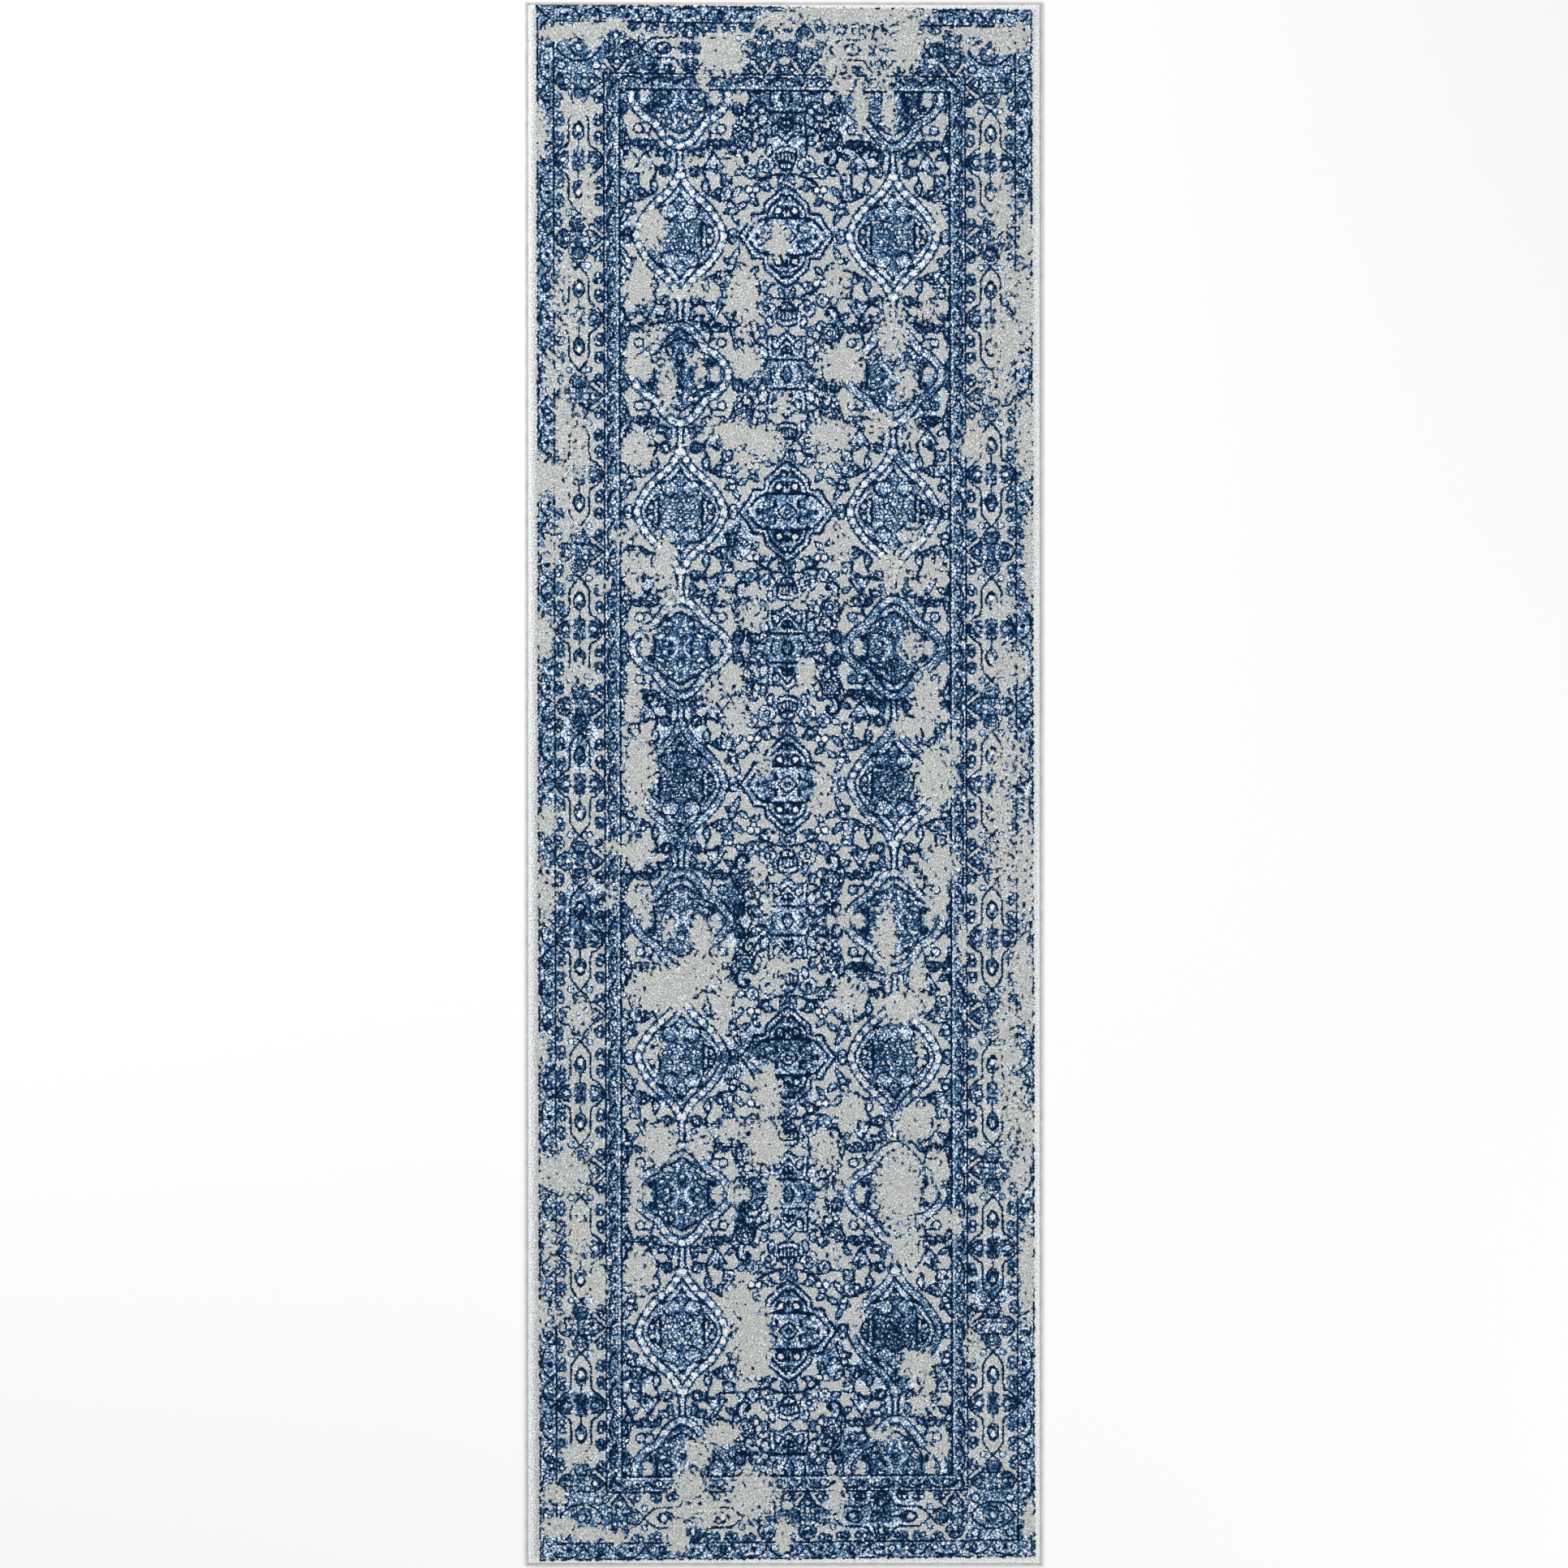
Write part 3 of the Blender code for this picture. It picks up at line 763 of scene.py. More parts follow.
def woven_dye(x, y):
    """The dye that the card asks for at places measured from the rug's middle."""
    # The rug came off the loom slightly out of square: its ends slope and its sides lean.
    side, end = x / 384.0, y / 1201.0
    head = np.clip((end - SLOPE_STARTS) / (1 - SLOPE_STARTS), 0, 1) ** 1.5
    foot = np.clip((-end - SLOPE_STARTS) / (1 - SLOPE_STARTS), 0, 1) ** 1.5
    head_shift = head * (HEAD_SLOPE[0] + HEAD_SLOPE[1] * side)
    foot_shift = foot * (FOOT_SLOPE[0] + FOOT_SLOPE[1] * side)
    y = y + head_shift + foot_shift - LENGTH_SHIFT
    x = x + SIDE_LEAN * end
    across = np.abs(x - BAND_SHIFT)
    along = np.abs(y)
    over = there_and_back(x - FIELD_SHIFT, FIELD_ACROSS)
    dye = from_card(field_card, over, there_and_back(y, FIELD_ALONG))
    on_side = across - FIELD_EDGE[0] > along - FIELD_EDGE[1]
    run = np.where(on_side, y - SIDE_ROSETTE, across - END_ROSETTE)
    beyond = np.maximum(across - FIELD_EDGE[0], along - FIELD_EDGE[1])
    dye = np.where(beyond > 0, from_card(inner_card, run % INNER_REPEAT, beyond), dye)
    beyond = np.maximum(across - INNER_EDGE[0], along - INNER_EDGE[1])
    turned = np.where(on_side, run, run * END_STRETCH)
    dye = np.where(beyond > 0, from_card(main_card, there_and_back(turned, MAIN_REPEAT), beyond), dye)
    corner = (across > INNER_EDGE[0]) & (along > INNER_EDGE[1])
    dye = np.where(corner, from_card(corner_card, across - INNER_EDGE[0], along - INNER_EDGE[1]), dye)
    beyond = np.maximum(across - MAIN_EDGE[0], along - MAIN_EDGE[1])
    dye = np.where(beyond > 0, from_card(outer_card, run % OUTER_REPEAT, beyond), dye)
    beyond = np.maximum(across - OUTER_EDGE[0], along - OUTER_EDGE[1])
    dye = np.where(beyond > 0, BARE, dye)
    for edge in (FIELD_EDGE, INNER_EDGE, MAIN_EDGE, OUTER_EDGE):
        off_line = np.abs(np.maximum(across - edge[0], along - edge[1]))
        line = np.clip((LINE_WIDTH / 2 - off_line) / SOFT_EDGE + 0.5, 0, 1)
        dye = dye + (NAVY - dye) * line
    return dye, beyond


# Wear: the rug is made to look old, so in these places the pile shows only its grey
# ground. Listed by how fully they are worn, each place as the x and y of its middle, its
# half width and its half length in millimetres.
WORN = {
    1.0: ((-352, 1170, 28, 14), (-306, 1175, 32, 16), (-95, 1138, 34, 32), (338, 1166, 34, 16),
          (368, 1172, 16, 14), (-390, 1012, 22, 42), (-205, 866, 21, 30), (-225, 778, 20, 32),
          (-60, 655, 24, 24), (88, 655, 36, 28), (-388, 478, 30, 36), (-382, 232, 24, 34),
          (-226, 25, 26, 54), (-180, -320, 55, 38), (-30, -560, 28, 36), (-195, -560, 26, 32),
          (178, -630, 36, 66), (-48, -865, 30, 64), (-350, -1158, 28, 15), (-304, -1168, 30, 12)),
    0.95: ((-266, 1184, 20, 11), (112, 1200, 112, 18), (192, 1158, 22, 48), (290, 1172, 32, 9),
          (-10, 845, 20, 26), (-62, 765, 24, 40), (-225, 650, 24, 18), (-75, 545, 30, 22),
          (-30, 530, 30, 24), (75, 545, 34, 24), (-228, 522, 24, 30), (35, 172, 14, 24),
          (235, 10, 34, 46), (372, -290, 18, 56), (-25, -480, 20, 40), (-345, -605, 46, 32),
          (-95, -1012, 26, 18), (-166, -1175, 16, 28), (-262, -1174, 18, 11)),
    0.9: ((-298, 1158, 13, 12), (-12, 1190, 34, 14), (-322, 1052, 22, 16), (377, 740, 16, 60),
          (-182, 622, 13, 42), (-3, 592, 12, 18), (295, 528, 24, 24), (-345, 445, 16, 16),
          (386, 360, 14, 80), (-80, 165, 18, 24), (-236, 130, 13, 34), (222, 130, 22, 44),
          (195, 90, 26, 16), (-232, -108, 26, 22), (-368, -56, 16, 26), (-128, -240, 18, 36),
          (158, -240, 17, 52), (-130, -290, 40, 26), (-95, -340, 14, 46), (205, -530, 32, 30),
          (190, -722, 28, 26), (-386, -825, 18, 36), (-16, -640, 12, 34), (-70, -805, 24, 30),
          (208, -905, 28, 24), (380, -760, 14, 80), (-132, -1042, 22, 22), (-322, -1045, 26, 15),
          (-148, -1092, 28, 24), (-50, -1110, 42, 38)),
    0.85: ((92, 1090, 20, 20), (164, 1050, 11, 36), (350, 1154, 30, 20), (350, 690, 35, 50),
          (90, 375, 18, 30), (-187, 345, 17, 44), (-75, 105, 20, 30), (278, -250, 10, 34),
          (185, -345, 40, 28), (104, -508, 21, 30), (-225, -760, 22, 40), (-292, -780, 18, 34),
          (382, -1148, 12, 30), (242, -128, 30, 36), (377, 540, 18, 70), (66, -574, 24, 26),
          (-352, 475, 24, 30)),
    0.82: ((-306, 915, 12, 50), (-372, -172, 18, 44)),
    0.8: ((120, 1058, 13, 46), (-125, 1100, 10, 22), (-72, 1068, 14, 10), (340, 895, 20, 55),
          (377, 850, 14, 60), (-345, 560, 14, 60), (-320, 530, 14, 60), (-235, 345, 20, 20),
          (340, 275, 26, 16), (355, 185, 28, 34), (50, -30, 13, 20), (-221, -190, 14, 28),
          (92, -212, 20, 15), (-10, -282, 26, 17), (100, -332, 24, 34), (210, -300, 14, 28),
          (-320, -362, 24, 26), (-380, -415, 14, 26), (-80, -540, 26, 17), (202, -750, 16, 14),
          (-322, -700, 16, 50), (-232, -640, 12, 56), (110, -830, 12, 30), (155, -1015, 26, 10),
          (0, -1175, 14, 32), (82, -1110, 14, 34), (377, -130, 18, 100), (-130, -565, 20, 20),
          (-358, -1108, 20, 20), (382, -350, 14, 40), (380, -540, 14, 50)),
    0.78: ((170, 700, 24, 46), (357, -500, 22, 60), (368, -600, 20, 40)),
    0.75: ((-80, 965, 15, 15), (85, 785, 20, 30), (145, 560, 26, 20), (62, 5, 15, 40), (352, -425, 24, 30),
          (-50, 262, 24, 24), (200, 215, 20, 24), (-112, 140, 16, 22), (-110, 560, 16, 16),
          (-22, -312, 24, 16), (-362, 365, 16, 30)),
    0.74: ((336, 618, 27, 34),),
    0.72: ((362, 780, 22, 42), (336, -35, 20, 44), (236, -600, 13, 36), (345, -372, 26, 34),
          (190, 625, 22, 30)),
    0.7: ((-215, 960, 13, 13), (-60, 880, 18, 13), (-342, 800, 18, 20), (-160, 765, 24, 11),
          (-55, 500, 24, 14), (60, 505, 16, 12), (-250, 385, 24, 13), (-235, 310, 16, 15),
          (-280, 310, 13, 14), (-270, -100, 18, 12), (-38, -138, 18, 15), (-205, -420, 14, 15),
          (210, -420, 8, 30), (266, -685, 14, 24), (-75, -640, 15, 20), (55, -650, 10, 40),
          (80, -730, 15, 24), (235, -1040, 18, 14), (-130, -1130, 50, 24), (-205, 700, 18, 18),
          (-62, 705, 18, 16), (-130, 642, 12, 18), (-352, 754, 14, 24), (-362, 640, 16, 40),
          (212, -966, 20, 20), (262, 60, 15, 30)),
    0.66: ((170, 330, 26, 34), (210, 310, 18, 18), (235, 332, 20, 20), (352, 35, 32, 52),
          (345, -120, 30, 56), (236, -190, 22, 24)),
    0.65: ((-145, 972, 20, 8), (240, 880, 11, 30), (-125, 770, 30, 18), (-140, 665, 12, 12),
          (100, 600, 14, 14), (200, 540, 14, 30), (-335, 400, 24, 18), (-50, 300, 20, 10),
          (-210, 235, 14, 14), (-90, 290, 14, 14), (-30, 30, 13, 20), (-270, -175, 10, 26),
          (-180, -225, 14, 20), (-25, -190, 13, 20), (225, -935, 14, 10), (200, 385, 20, 20),
          (292, -880, 13, 40)),
    0.62: ((152, 1100, 22, 22), (-242, 972, 13, 13), (-335, 720, 25, 30), (225, 740, 20, 20),
          (-175, 290, 18, 26), (-320, 175, 24, 20), (198, -140, 18, 20), (38, 1152, 15, 12),
          (88, -618, 15, 18)),
    0.6: ((80, 1130, 30, 44), (30, 290, 30, 9), (90, 290, 20, 14), (291, 1146, 24, 13),
          (-350, -830, 20, 22), (-364, -720, 14, 50)),
    0.56: ((150, 1160, 58, 34),),
}
# Where the dyed pile is darkest, as the same four numbers.
DEEP = [
    (6, 1036, 44, 44), (-205, 1060, 20, 14), (190, 1060, 22, 26), (-145, 1140, 16, 16),
    (140, 990, 36, 20), (-250, 950, 14, 12), (-245, 860, 12, 22), (-165, 700, 40, 30),
    (-160, 640, 14, 30), (-215, 740, 20, 12), (0, 550, 15, 13), (-75, 380, 26, 26), (-5, 370, 15, 15),
    (2, 215, 18, 54), (-52, 230, 14, 18), (148, 166, 46, 22), (-318, 70, 26, 44), (-310, -205, 44, 46),
    (70, -880, 24, 40), (-228, -920, 22, 24), (155, 130, 44, 16), (-165, 130, 50, 20), (-160, 30, 46, 70),
    (-160, -80, 28, 44), (165, 10, 42, 54), (0, 65, 15, 9), (-80, -190, 22, 54), (120, -290, 20, 16),
    (60, -330, 9, 11), (-94, -434, 38, 32), (5, -400, 42, 34), (150, -420, 32, 42), (175, -480, 30, 22),
    (10, -470, 15, 15), (0, -540, 15, 15), (10, -610, 17, 26), (-65, -680, 17, 26), (330, -530, 15, 15),
    (330, -720, 17, 17), (178, -872, 58, 62), (-175, -486, 30, 18), (320, -790, 28, 28),
    (175, -930, 28, 32), (10, -880, 20, 15), (-230, -950, 12, 12), (100, -1030, 34, 24),
    (-100, -1060, 26, 15), (-320, -960, 40, 16), (140, -1130, 64, 34), (322, 440, 15, 15),
    (215, 1118, 24, 26), (92, 1045, 12, 30), (30, -480, 16, 24), (172, -505, 20, 24), (130, -915, 26, 22),
    (235, 425, 26, 20), (185, 505, 20, 16), (222, 600, 22, 30), (12, -1040, 32, 24), (-76, -1035, 20, 20),
    (-152, -1008, 22, 14), (-265, -1040, 14, 26), (-50, -410, 40, 30), (-202, 815, 14, 12),
    (-215, 1130, 40, 30),
]
# Where the white dots of the bands have gone dull: the same four, and how fully.
DULL = [
    (172, 205, 100, 80, 1.0), (-160, 205, 60, 60, 0.5), (-155, 0, 80, 95, 0.6), (172, 66, 50, 40, 1.0),
    (130, -60, 40, 40, 1.0), (-160, -212, 95, 80, 0.9), (172, -212, 95, 80, 0.6), (172, 637, 95, 70, 0.7),
    (-160, -637, 95, 60, 0.6), (172, -637, 90, 80, 0.5), (172, -870, 95, 85, 1.0),
    (172, -1062, 90, 60, 0.7), (-160, -1062, 90, 60, 0.7), (172, 1062, 90, 70, 0.7),
]

TUFT = 1.6
rug_width = (cad_high.x - cad_low.x) * 1000
rug_length = (cad_high.y - cad_low.y) * 1000


def uneven(seed, lump, spread=0.5, drawn=1.0):
    """Randomness over the whole rug, in lumps of a size in millimetres, drawn out lengthwise."""
    columns, rows = int(rug_width / TUFT) + 4, int(rug_length / TUFT) + 4
    wave = np.fft.rfft2(np.random.default_rng(seed).standard_normal((rows, columns)))
    across, along = np.fft.rfftfreq(columns, TUFT)[None], np.fft.fftfreq(rows, TUFT)[:, None]
    off = np.hypot(across, along * drawn) * lump - 1.0
    lumps = np.fft.irfft2(wave * np.exp(-((off / spread) ** 2)), s=(rows, columns))
    return lumps / lumps.std()


def at(lumps, x, y):
    """Reads the randomness at places measured from the rug's middle; past its end it starts again."""
    column = np.rint((x + rug_width / 2) / TUFT).astype(int) % lumps.shape[1]
    row = np.rint((y + rug_length / 2) / TUFT).astype(int) % lumps.shape[0]
    return lumps[row, column]


# The dye took unevenly, in thin wandering lines of darker tufts with lighter ones between.
wander = 0.55 * uneven(13, 4.3, 0.4) - np.abs(uneven(3, 9.5, 0.35))
wander = np.clip((wander - wander.mean()) / wander.std(), -1.7, 1.6)
stray_x, stray_y = uneven(4, 7.0), uneven(5, 7.0)
ragged = uneven(6, 14.0, 0.8)
frayed = uneven(7, 6.0, 0.6)
streaks = uneven(8, 9.0, 0.6, drawn=3.0)
lie = uneven(10, 4.2, 0.6)

STRAY = 0.5
WEAR_LIMIT = 0.44
NAVY_HOLDS = 0.12
WEAR_EDGE = 0.03
DEEPEST = 0.28
EDGE_FADE_START = 19
EDGE_FADE_WIDTH = 13
WHITE_FIBRES = 0.11


def how_far(x, y, place):
    """How far each tuft is from the middle of a place, squared, with the place's rim at 1."""
    middle_x, middle_y, half_x, half_y = place
    return ((x - middle_x) / half_x) ** 2 + ((y - middle_y) / half_y) ** 2


def tuft_dye(x, y):
    """How deep each tuft's dye is, how fully it is dyed, and how light its grey is."""
    dye, off_pattern = woven_dye(x + STRAY * at(stray_x, x, y), y + STRAY * at(stray_y, x, y))
    # Wear starts as soft places and the bare margin, and is roughened at three sizes. Navy
    # wears through last.
    worn = 0.5 * np.clip((off_pattern + 3) / 4, 0, 1)
    for fully, places in WORN.items():
        for place in places:
            worn = np.maximum(worn, fully * np.exp(-(how_far(x, y, place) ** 1.5) * 0.7))
    worn = worn + 0.18 * at(ragged, x, y) + 0.06 * at(frayed, x, y) + 0.08 * at(streaks, x, y)
    dyed = np.clip((WEAR_LIMIT + NAVY_HOLDS * np.clip(dye, 0, 1) - worn) / WEAR_EDGE, 0, 1)
    # Where the dye is deep the tufts darken, and where it is dull the white dots turn blue.
    deep = np.zeros(x.shape)
    for place in DEEP:
        deep = np.maximum(deep, DEEPEST * np.exp(-how_far(x, y, place) * 0.9))
    dull = np.zeros(x.shape)
    for *place, fully in DULL:
        dull = np.maximum(dull, fully * np.exp(-(how_far(x, y, place) ** 3) * 0.5))
    bright = np.clip(0.92 - 2.6 * deep - dull + 0.10 * at(ragged, -x, y), 0.05, 1)
    dye = np.where(dye < 0, dye * bright + BLUE * 0.7 * (1 - bright), dye)
    dye = np.where((dye >= 0) & (off_pattern < 0), np.maximum(dye, 2.2 * deep - 0.15), dye)
    # Middle blues vary most from tuft to tuft, and navy least.
    full = np.clip(np.where(dye > 0.3, dye + 0.03 * dull, dye), 0, 1)
    sway = 0.05 + 0.27 * np.sqrt(1 - full) + 0.48 * full * (1 - full)
    tone = np.clip(full + 0.03 + sway * at(wander, x, y) + deep * np.sqrt(full), 0, 1)
    cover = np.clip(dye / 0.10, 0, 1) * dyed
    white = np.clip(dye / WHITE, 0, 1) * np.clip(dyed + 0.3, 0, 1)
    rim = np.minimum(rug_width / 2 - np.abs(x), rug_length / 2 - np.abs(y))
    faded = np.clip((EDGE_FADE_START - rim) / EDGE_FADE_WIDTH, 0, 1) * (off_pattern > 0)
    speck = np.random.default_rng(11).random(x.shape) > 1 - WHITE_FIBRES
    light = 0.12 + 0.24 * at(lie, -x, y) + 0.18 * at(lie, y, x) + 0.55 * speck
    light = np.clip(light + 0.85 * faded + 0.80 * white, 0, 1)
    return tone, cover, light


TIP_SINK = 0.5
TIP_VARIES = 0.32
LUMP_VARIES = 0.10
LOWEST_TIP = 1.6
PANEL_RIM = 0.2
DROOP_START = 11.5
DROOP_WIDTH = 6.0
DROOP_DEPTH = 3.2
LOOSE = 0.42
BAKE_MARGIN = 9.0
BAKE_WALL = 0.9
AT_RIM = 0.01


def tufted(name, low, high, slot_name, node):
    """A panel of cut tufts between two corners. Each face on top is the cut end of one tuft."""
    work = bmesh.new()
    width, length = (high.x - low.x) * 1000, (high.y - low.y) * 1000
    columns, rows = round(width / TUFT), round(length / TUFT)
    bmesh.ops.create_grid(work, x_segments=columns, y_segments=rows, size=0.5)
    spread = max(v.co.x for v in work.verts) * 2
    bmesh.ops.scale(work, vec=(width / spread, length / spread, 1), verts=work.verts)
    middle = (low + high) * 500
    bmesh.ops.translate(work, vec=(middle.x, middle.y, high.z * 1000), verts=work.verts)
    rim = [edge for edge in work.edges if edge.is_boundary]
    wall = bmesh.ops.extrude_edge_only(work, edges=rim)["geom"]
    foot = [v for v in wall if isinstance(v, bmesh.types.BMVert)]
    bmesh.ops.translate(work, vec=(0, 0, (low.z - high.z) * 1000), verts=foot)
    bmesh.ops.contextual_create(work, geom=[e for e in wall if isinstance(e, bmesh.types.BMEdge)])
    piece = as_piece(work, name, tuft_finish, slot_name, node)
    mesh = piece.data

    place = np.empty(len(mesh.vertices) * 3)
    mesh.vertices.foreach_get("co", place)
    place = place.reshape(-1, 3)
    x, y = place[:, 0].copy(), place[:, 1].copy()
    lay_out_bake(mesh, x, y, place[:, 2], middle, width, length)
    top = place[:, 2] > high.z * 1000 - 0.1
    to_rim = np.minimum(rug_width / 2 - np.abs(x), rug_length / 2 - np.abs(y))
    droop = np.clip((DROOP_START - to_rim) / DROOP_WIDTH, 0, 1) ** 2 * DROOP_DEPTH
    sink = TIP_SINK + TIP_VARIES * at(lie, x, y) + LUMP_VARIES * at(ragged, y, x)
    place[:, 2] -= np.where(top, np.clip(sink, 0, LOWEST_TIP) + droop, 0)
    inner = np.abs(x - middle.x) < width / 2 - PANEL_RIM
    inner &= top & (np.abs(y - middle.y) < length / 2 - PANEL_RIM)
    loose = np.random.default_rng(12).uniform(-LOOSE, LOOSE, (len(x), 2))
    place[:, 0] += np.where(inner, loose[:, 0], 0)
    place[:, 1] += np.where(inner, loose[:, 1], 0)
    mesh.vertices.foreach_set("co", (place / 1000).ravel())

    centre = np.empty(len(mesh.polygons) * 3)
    mesh.polygons.foreach_get("center", centre)
    centre = centre.reshape(-1, 3) * 1000
    for title, values in zip(("dye", "cover", "light"), tuft_dye(centre[:, 0], centre[:, 1])):
        mesh.attributes.new(title, "FLOAT", "FACE").data.foreach_set("value", values.astype(np.float32))
    mesh.update()
    return piece


def lay_out_bake(mesh, x, y, z, middle, width, length):
    """A flat plan of the panel for its finish, cut across into a few lengths laid side by side."""
    long_way, short_way = (y - middle.y + length / 2, x - middle.x + width / 2)
    reach, breadth = length, width
    if width > length:
        long_way, short_way, reach, breadth = short_way, long_way, width, length
    lane = breadth + 2 * BAKE_MARGIN
    lengths = max(round(math.sqrt(reach / lane)), 1)
    cut = reach / lengths
    corner = np.empty(len(mesh.loops), np.int32)
    mesh.loops.foreach_get("vertex_index", corner)
    sides = np.empty(len(mesh.polygons), np.int32)
    mesh.polygons.foreach_get("loop_total", sides)
    owner = np.repeat(np.arange(len(sides)), sides)
    middle_run = np.bincount(owner, long_way[corner]) / sides
    strip = np.clip((middle_run / cut).astype(int), 0, lengths - 1)[owner]
    down = (z.max() - z[corner]) * BAKE_WALL
    run, over = long_way[corner], short_way[corner]
    across = strip * lane + BAKE_MARGIN + over
    across += down * ((over > breadth - AT_RIM) * 1.0 - (over < AT_RIM))
    along = BAKE_MARGIN + run - strip * cut
    along += down * ((run > reach - AT_RIM) * 1.0 - (run < AT_RIM))
    base = sides[owner] > 4
    across = np.where(base, lengths * lane + 1 + 5 * over / breadth, across)
    along = np.where(base, BAKE_MARGIN + run / lengths, along)
    plan = np.stack([across / (lengths * lane + 8), along / (cut + 2 * BAKE_MARGIN)], 1)
    layer = mesh.uv_layers.new(name="OFBake")
    layer.data.foreach_set("uv", np.clip(plan, 0, 1).astype(np.float32).ravel())


def tuft_material():
    """Heat-set cut pile: dyed from white through blue to navy over its warm grey ground."""
    made = bpy.data.materials.new("cut_pile")
    made.use_nodes = True
    nodes, links = made.node_tree.nodes, made.node_tree.links
    shader = nodes["Principled BSDF"]
    shader.inputs["Roughness"].default_value = 0.92
    shader.inputs["Specular IOR Level"].default_value = 0.05
    shader.inputs["Sheen Weight"].default_value = 0.02
    shader.inputs["Sheen Roughness"].default_value = 0.6
    read = {}
    for title in ("dye", "cover", "light"):
        read[title] = nodes.new("ShaderNodeAttribute")
        read[title].attribute_name = title
    dyes = nodes.new("ShaderNodeValToRGB")
    steps = ((0.0, (0.90, 0.94, 0.97)), (0.17, (0.50, 0.61, 0.74)), (0.35, (0.20, 0.345, 0.54)),
             (0.52, (0.073, 0.182, 0.345)), (0.70, (0.022, 0.080, 0.182)), (0.87, (0.005, 0.030, 0.090)),
             (1.0, (0.0008, 0.009, 0.034)))
    while len(dyes.color_ramp.elements) < len(steps):
        dyes.color_ramp.elements.new(0.5)
    for element, (position, colour) in zip(dyes.color_ramp.elements, steps):
        element.position = position
        element.color = (*colour, 1.0)
    grey = nodes.new("ShaderNodeValToRGB")
    grey.color_ramp.elements[0].color = (0.38, 0.39, 0.37, 1.0)
    grey.color_ramp.elements[1].color = (0.90, 0.93, 0.95, 1.0)
    blend = nodes.new("ShaderNodeMix")
    blend.data_type = "RGBA"
    links.new(read["dye"].outputs["Fac"], dyes.inputs["Fac"])
    links.new(read["light"].outputs["Fac"], grey.inputs["Fac"])
    links.new(read["cover"].outputs["Fac"], blend.inputs["Factor"])
    links.new(grey.outputs["Color"], blend.inputs["A"])
    links.new(dyes.outputs["Color"], blend.inputs["B"])
    links.new(blend.outputs["Result"], shader.inputs["Base Color"])
    yarn = nodes.new("ShaderNodeGroup")
    yarn.node_tree = fibre
    yarn.inputs["Fineness"].default_value = 1300.0
    relief = nodes.new("ShaderNodeBump")
    relief.inputs["Strength"].default_value = 0.5
    relief.inputs["Distance"].default_value = 0.0006
    links.new(yarn.outputs["Height"], relief.inputs["Height"])
    links.new(relief.outputs["Normal"], shader.inputs["Normal"])
    return made


tuft_finish = tuft_material()
FIELD_WIDTHS = 5
field_low, field_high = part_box("field_pile")
for strip in range(FIELD_WIDTHS):
    step = (field_high.x - field_low.x) / FIELD_WIDTHS
    low = Vector((field_low.x + strip * step, field_low.y, field_low.z))
    high = Vector((field_low.x + (strip + 1) * step, field_high.y, field_high.z))
    tufted(f"field_tufts_{strip + 1}", low, high, "patterned_pile", "field_pile")


# Inner guard pile: the narrow stripe round the field, woven as an arcade between two
# navy lines. It is the same cut pile, so it stands level with the field.
def tufted_ring(name, node, inside, slot_name):
    """A band of pile round what lies inside it: the sides run full length, the ends fit between."""
    outer_low, outer_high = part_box(node)
    inner_low, inner_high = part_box(inside)
    sides = {
        "left": ((outer_low.x, outer_low.y), (inner_low.x, outer_high.y)),
        "right": ((inner_high.x, outer_low.y), (outer_high.x, outer_high.y)),
        "head": ((inner_low.x, inner_high.y), (inner_high.x, outer_high.y)),
        "foot": ((inner_low.x, outer_low.y), (inner_high.x, inner_low.y)),
    }
    for side, (low, high) in sides.items():
        low, high = Vector((*low, outer_low.z)), Vector((*high, outer_high.z))
        tufted(f"{name}_{side}", low, high, slot_name, node)


tufted_ring("inner_guard_tufts", "inner_guard_pile", "field_pile", "patterned_pile")


# Main border pile: the wide stripe of cartouches and rosettes.
tufted_ring("main_border_tufts", "main_border_pile", "inner_guard_pile", "patterned_pile")


# Outer guard pile: the leafy stripe outside the main border.
tufted_ring("outer_guard_tufts", "outer_guard_pile", "main_border_pile", "patterned_pile")


# Margin pile: plain grey tufts out to the edge, where they fade and droop.
tufted_ring("margin_tufts", "margin_pile", "outer_guard_pile", "grey_pile")


# Edge cords: a twisted three-strand cotton cord laid along each edge, hidden inside the
# overcasting, which stops the edge from curling.
CORD_COTTON = (0.72, 0.69, 0.62, 1.0)
CORD_SHADE = (0.58, 0.54, 0.46, 1.0)
CORD_STATION = 0.004
CORD_LAY = 0.016
CORD_STRANDS = 3
CORD_BODY = 0.43
STRAND_SWELL = 0.07

cord_finish = cloth_material("cotton_cord_twist", CORD_COTTON, CORD_SHADE, 1600.0, 80.0, 0.85, 0.0003)
for side in ("left", "right", "head", "foot"):
    low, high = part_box("edge_cord_" + side)
    runs_across = side in ("head", "foot")
    long_side = (high.x - low.x) if runs_across else (high.y - low.y)
    work = bmesh.new()
    bmesh.ops.create_cone(work, cap_ends=True, segments=9, radius1=0.5, radius2=0.5, depth=1)
    strands = [e for e in work.edges if abs(e.verts[0].co.z - e.verts[1].co.z) > 0.5]
    stations = round(long_side / CORD_STATION)
    bmesh.ops.subdivide_edges(work, edges=strands, cuts=stations - 1, use_grid_fill=True)
    thick = high.z - low.z
    for point in work.verts:
        angle = math.atan2(point.co.y, point.co.x)
        along = point.co.z * long_side
        twist = along / CORD_LAY * math.tau / CORD_STRANDS
        lobes = CORD_BODY + STRAND_SWELL * math.cos(CORD_STRANDS * (angle - twist))
        sideways, upright = lobes * thick * math.cos(angle), lobes * thick * math.sin(angle)
        point.co = (along, sideways, upright) if runs_across else (sideways, along, upright)
    bmesh.ops.translate(work, vec=(low + high) / 2, verts=work.verts)
    name = "edge_cord_twist_" + side
    as_piece(work, name, cord_finish, "cotton_cord", "edge_cord_" + side)


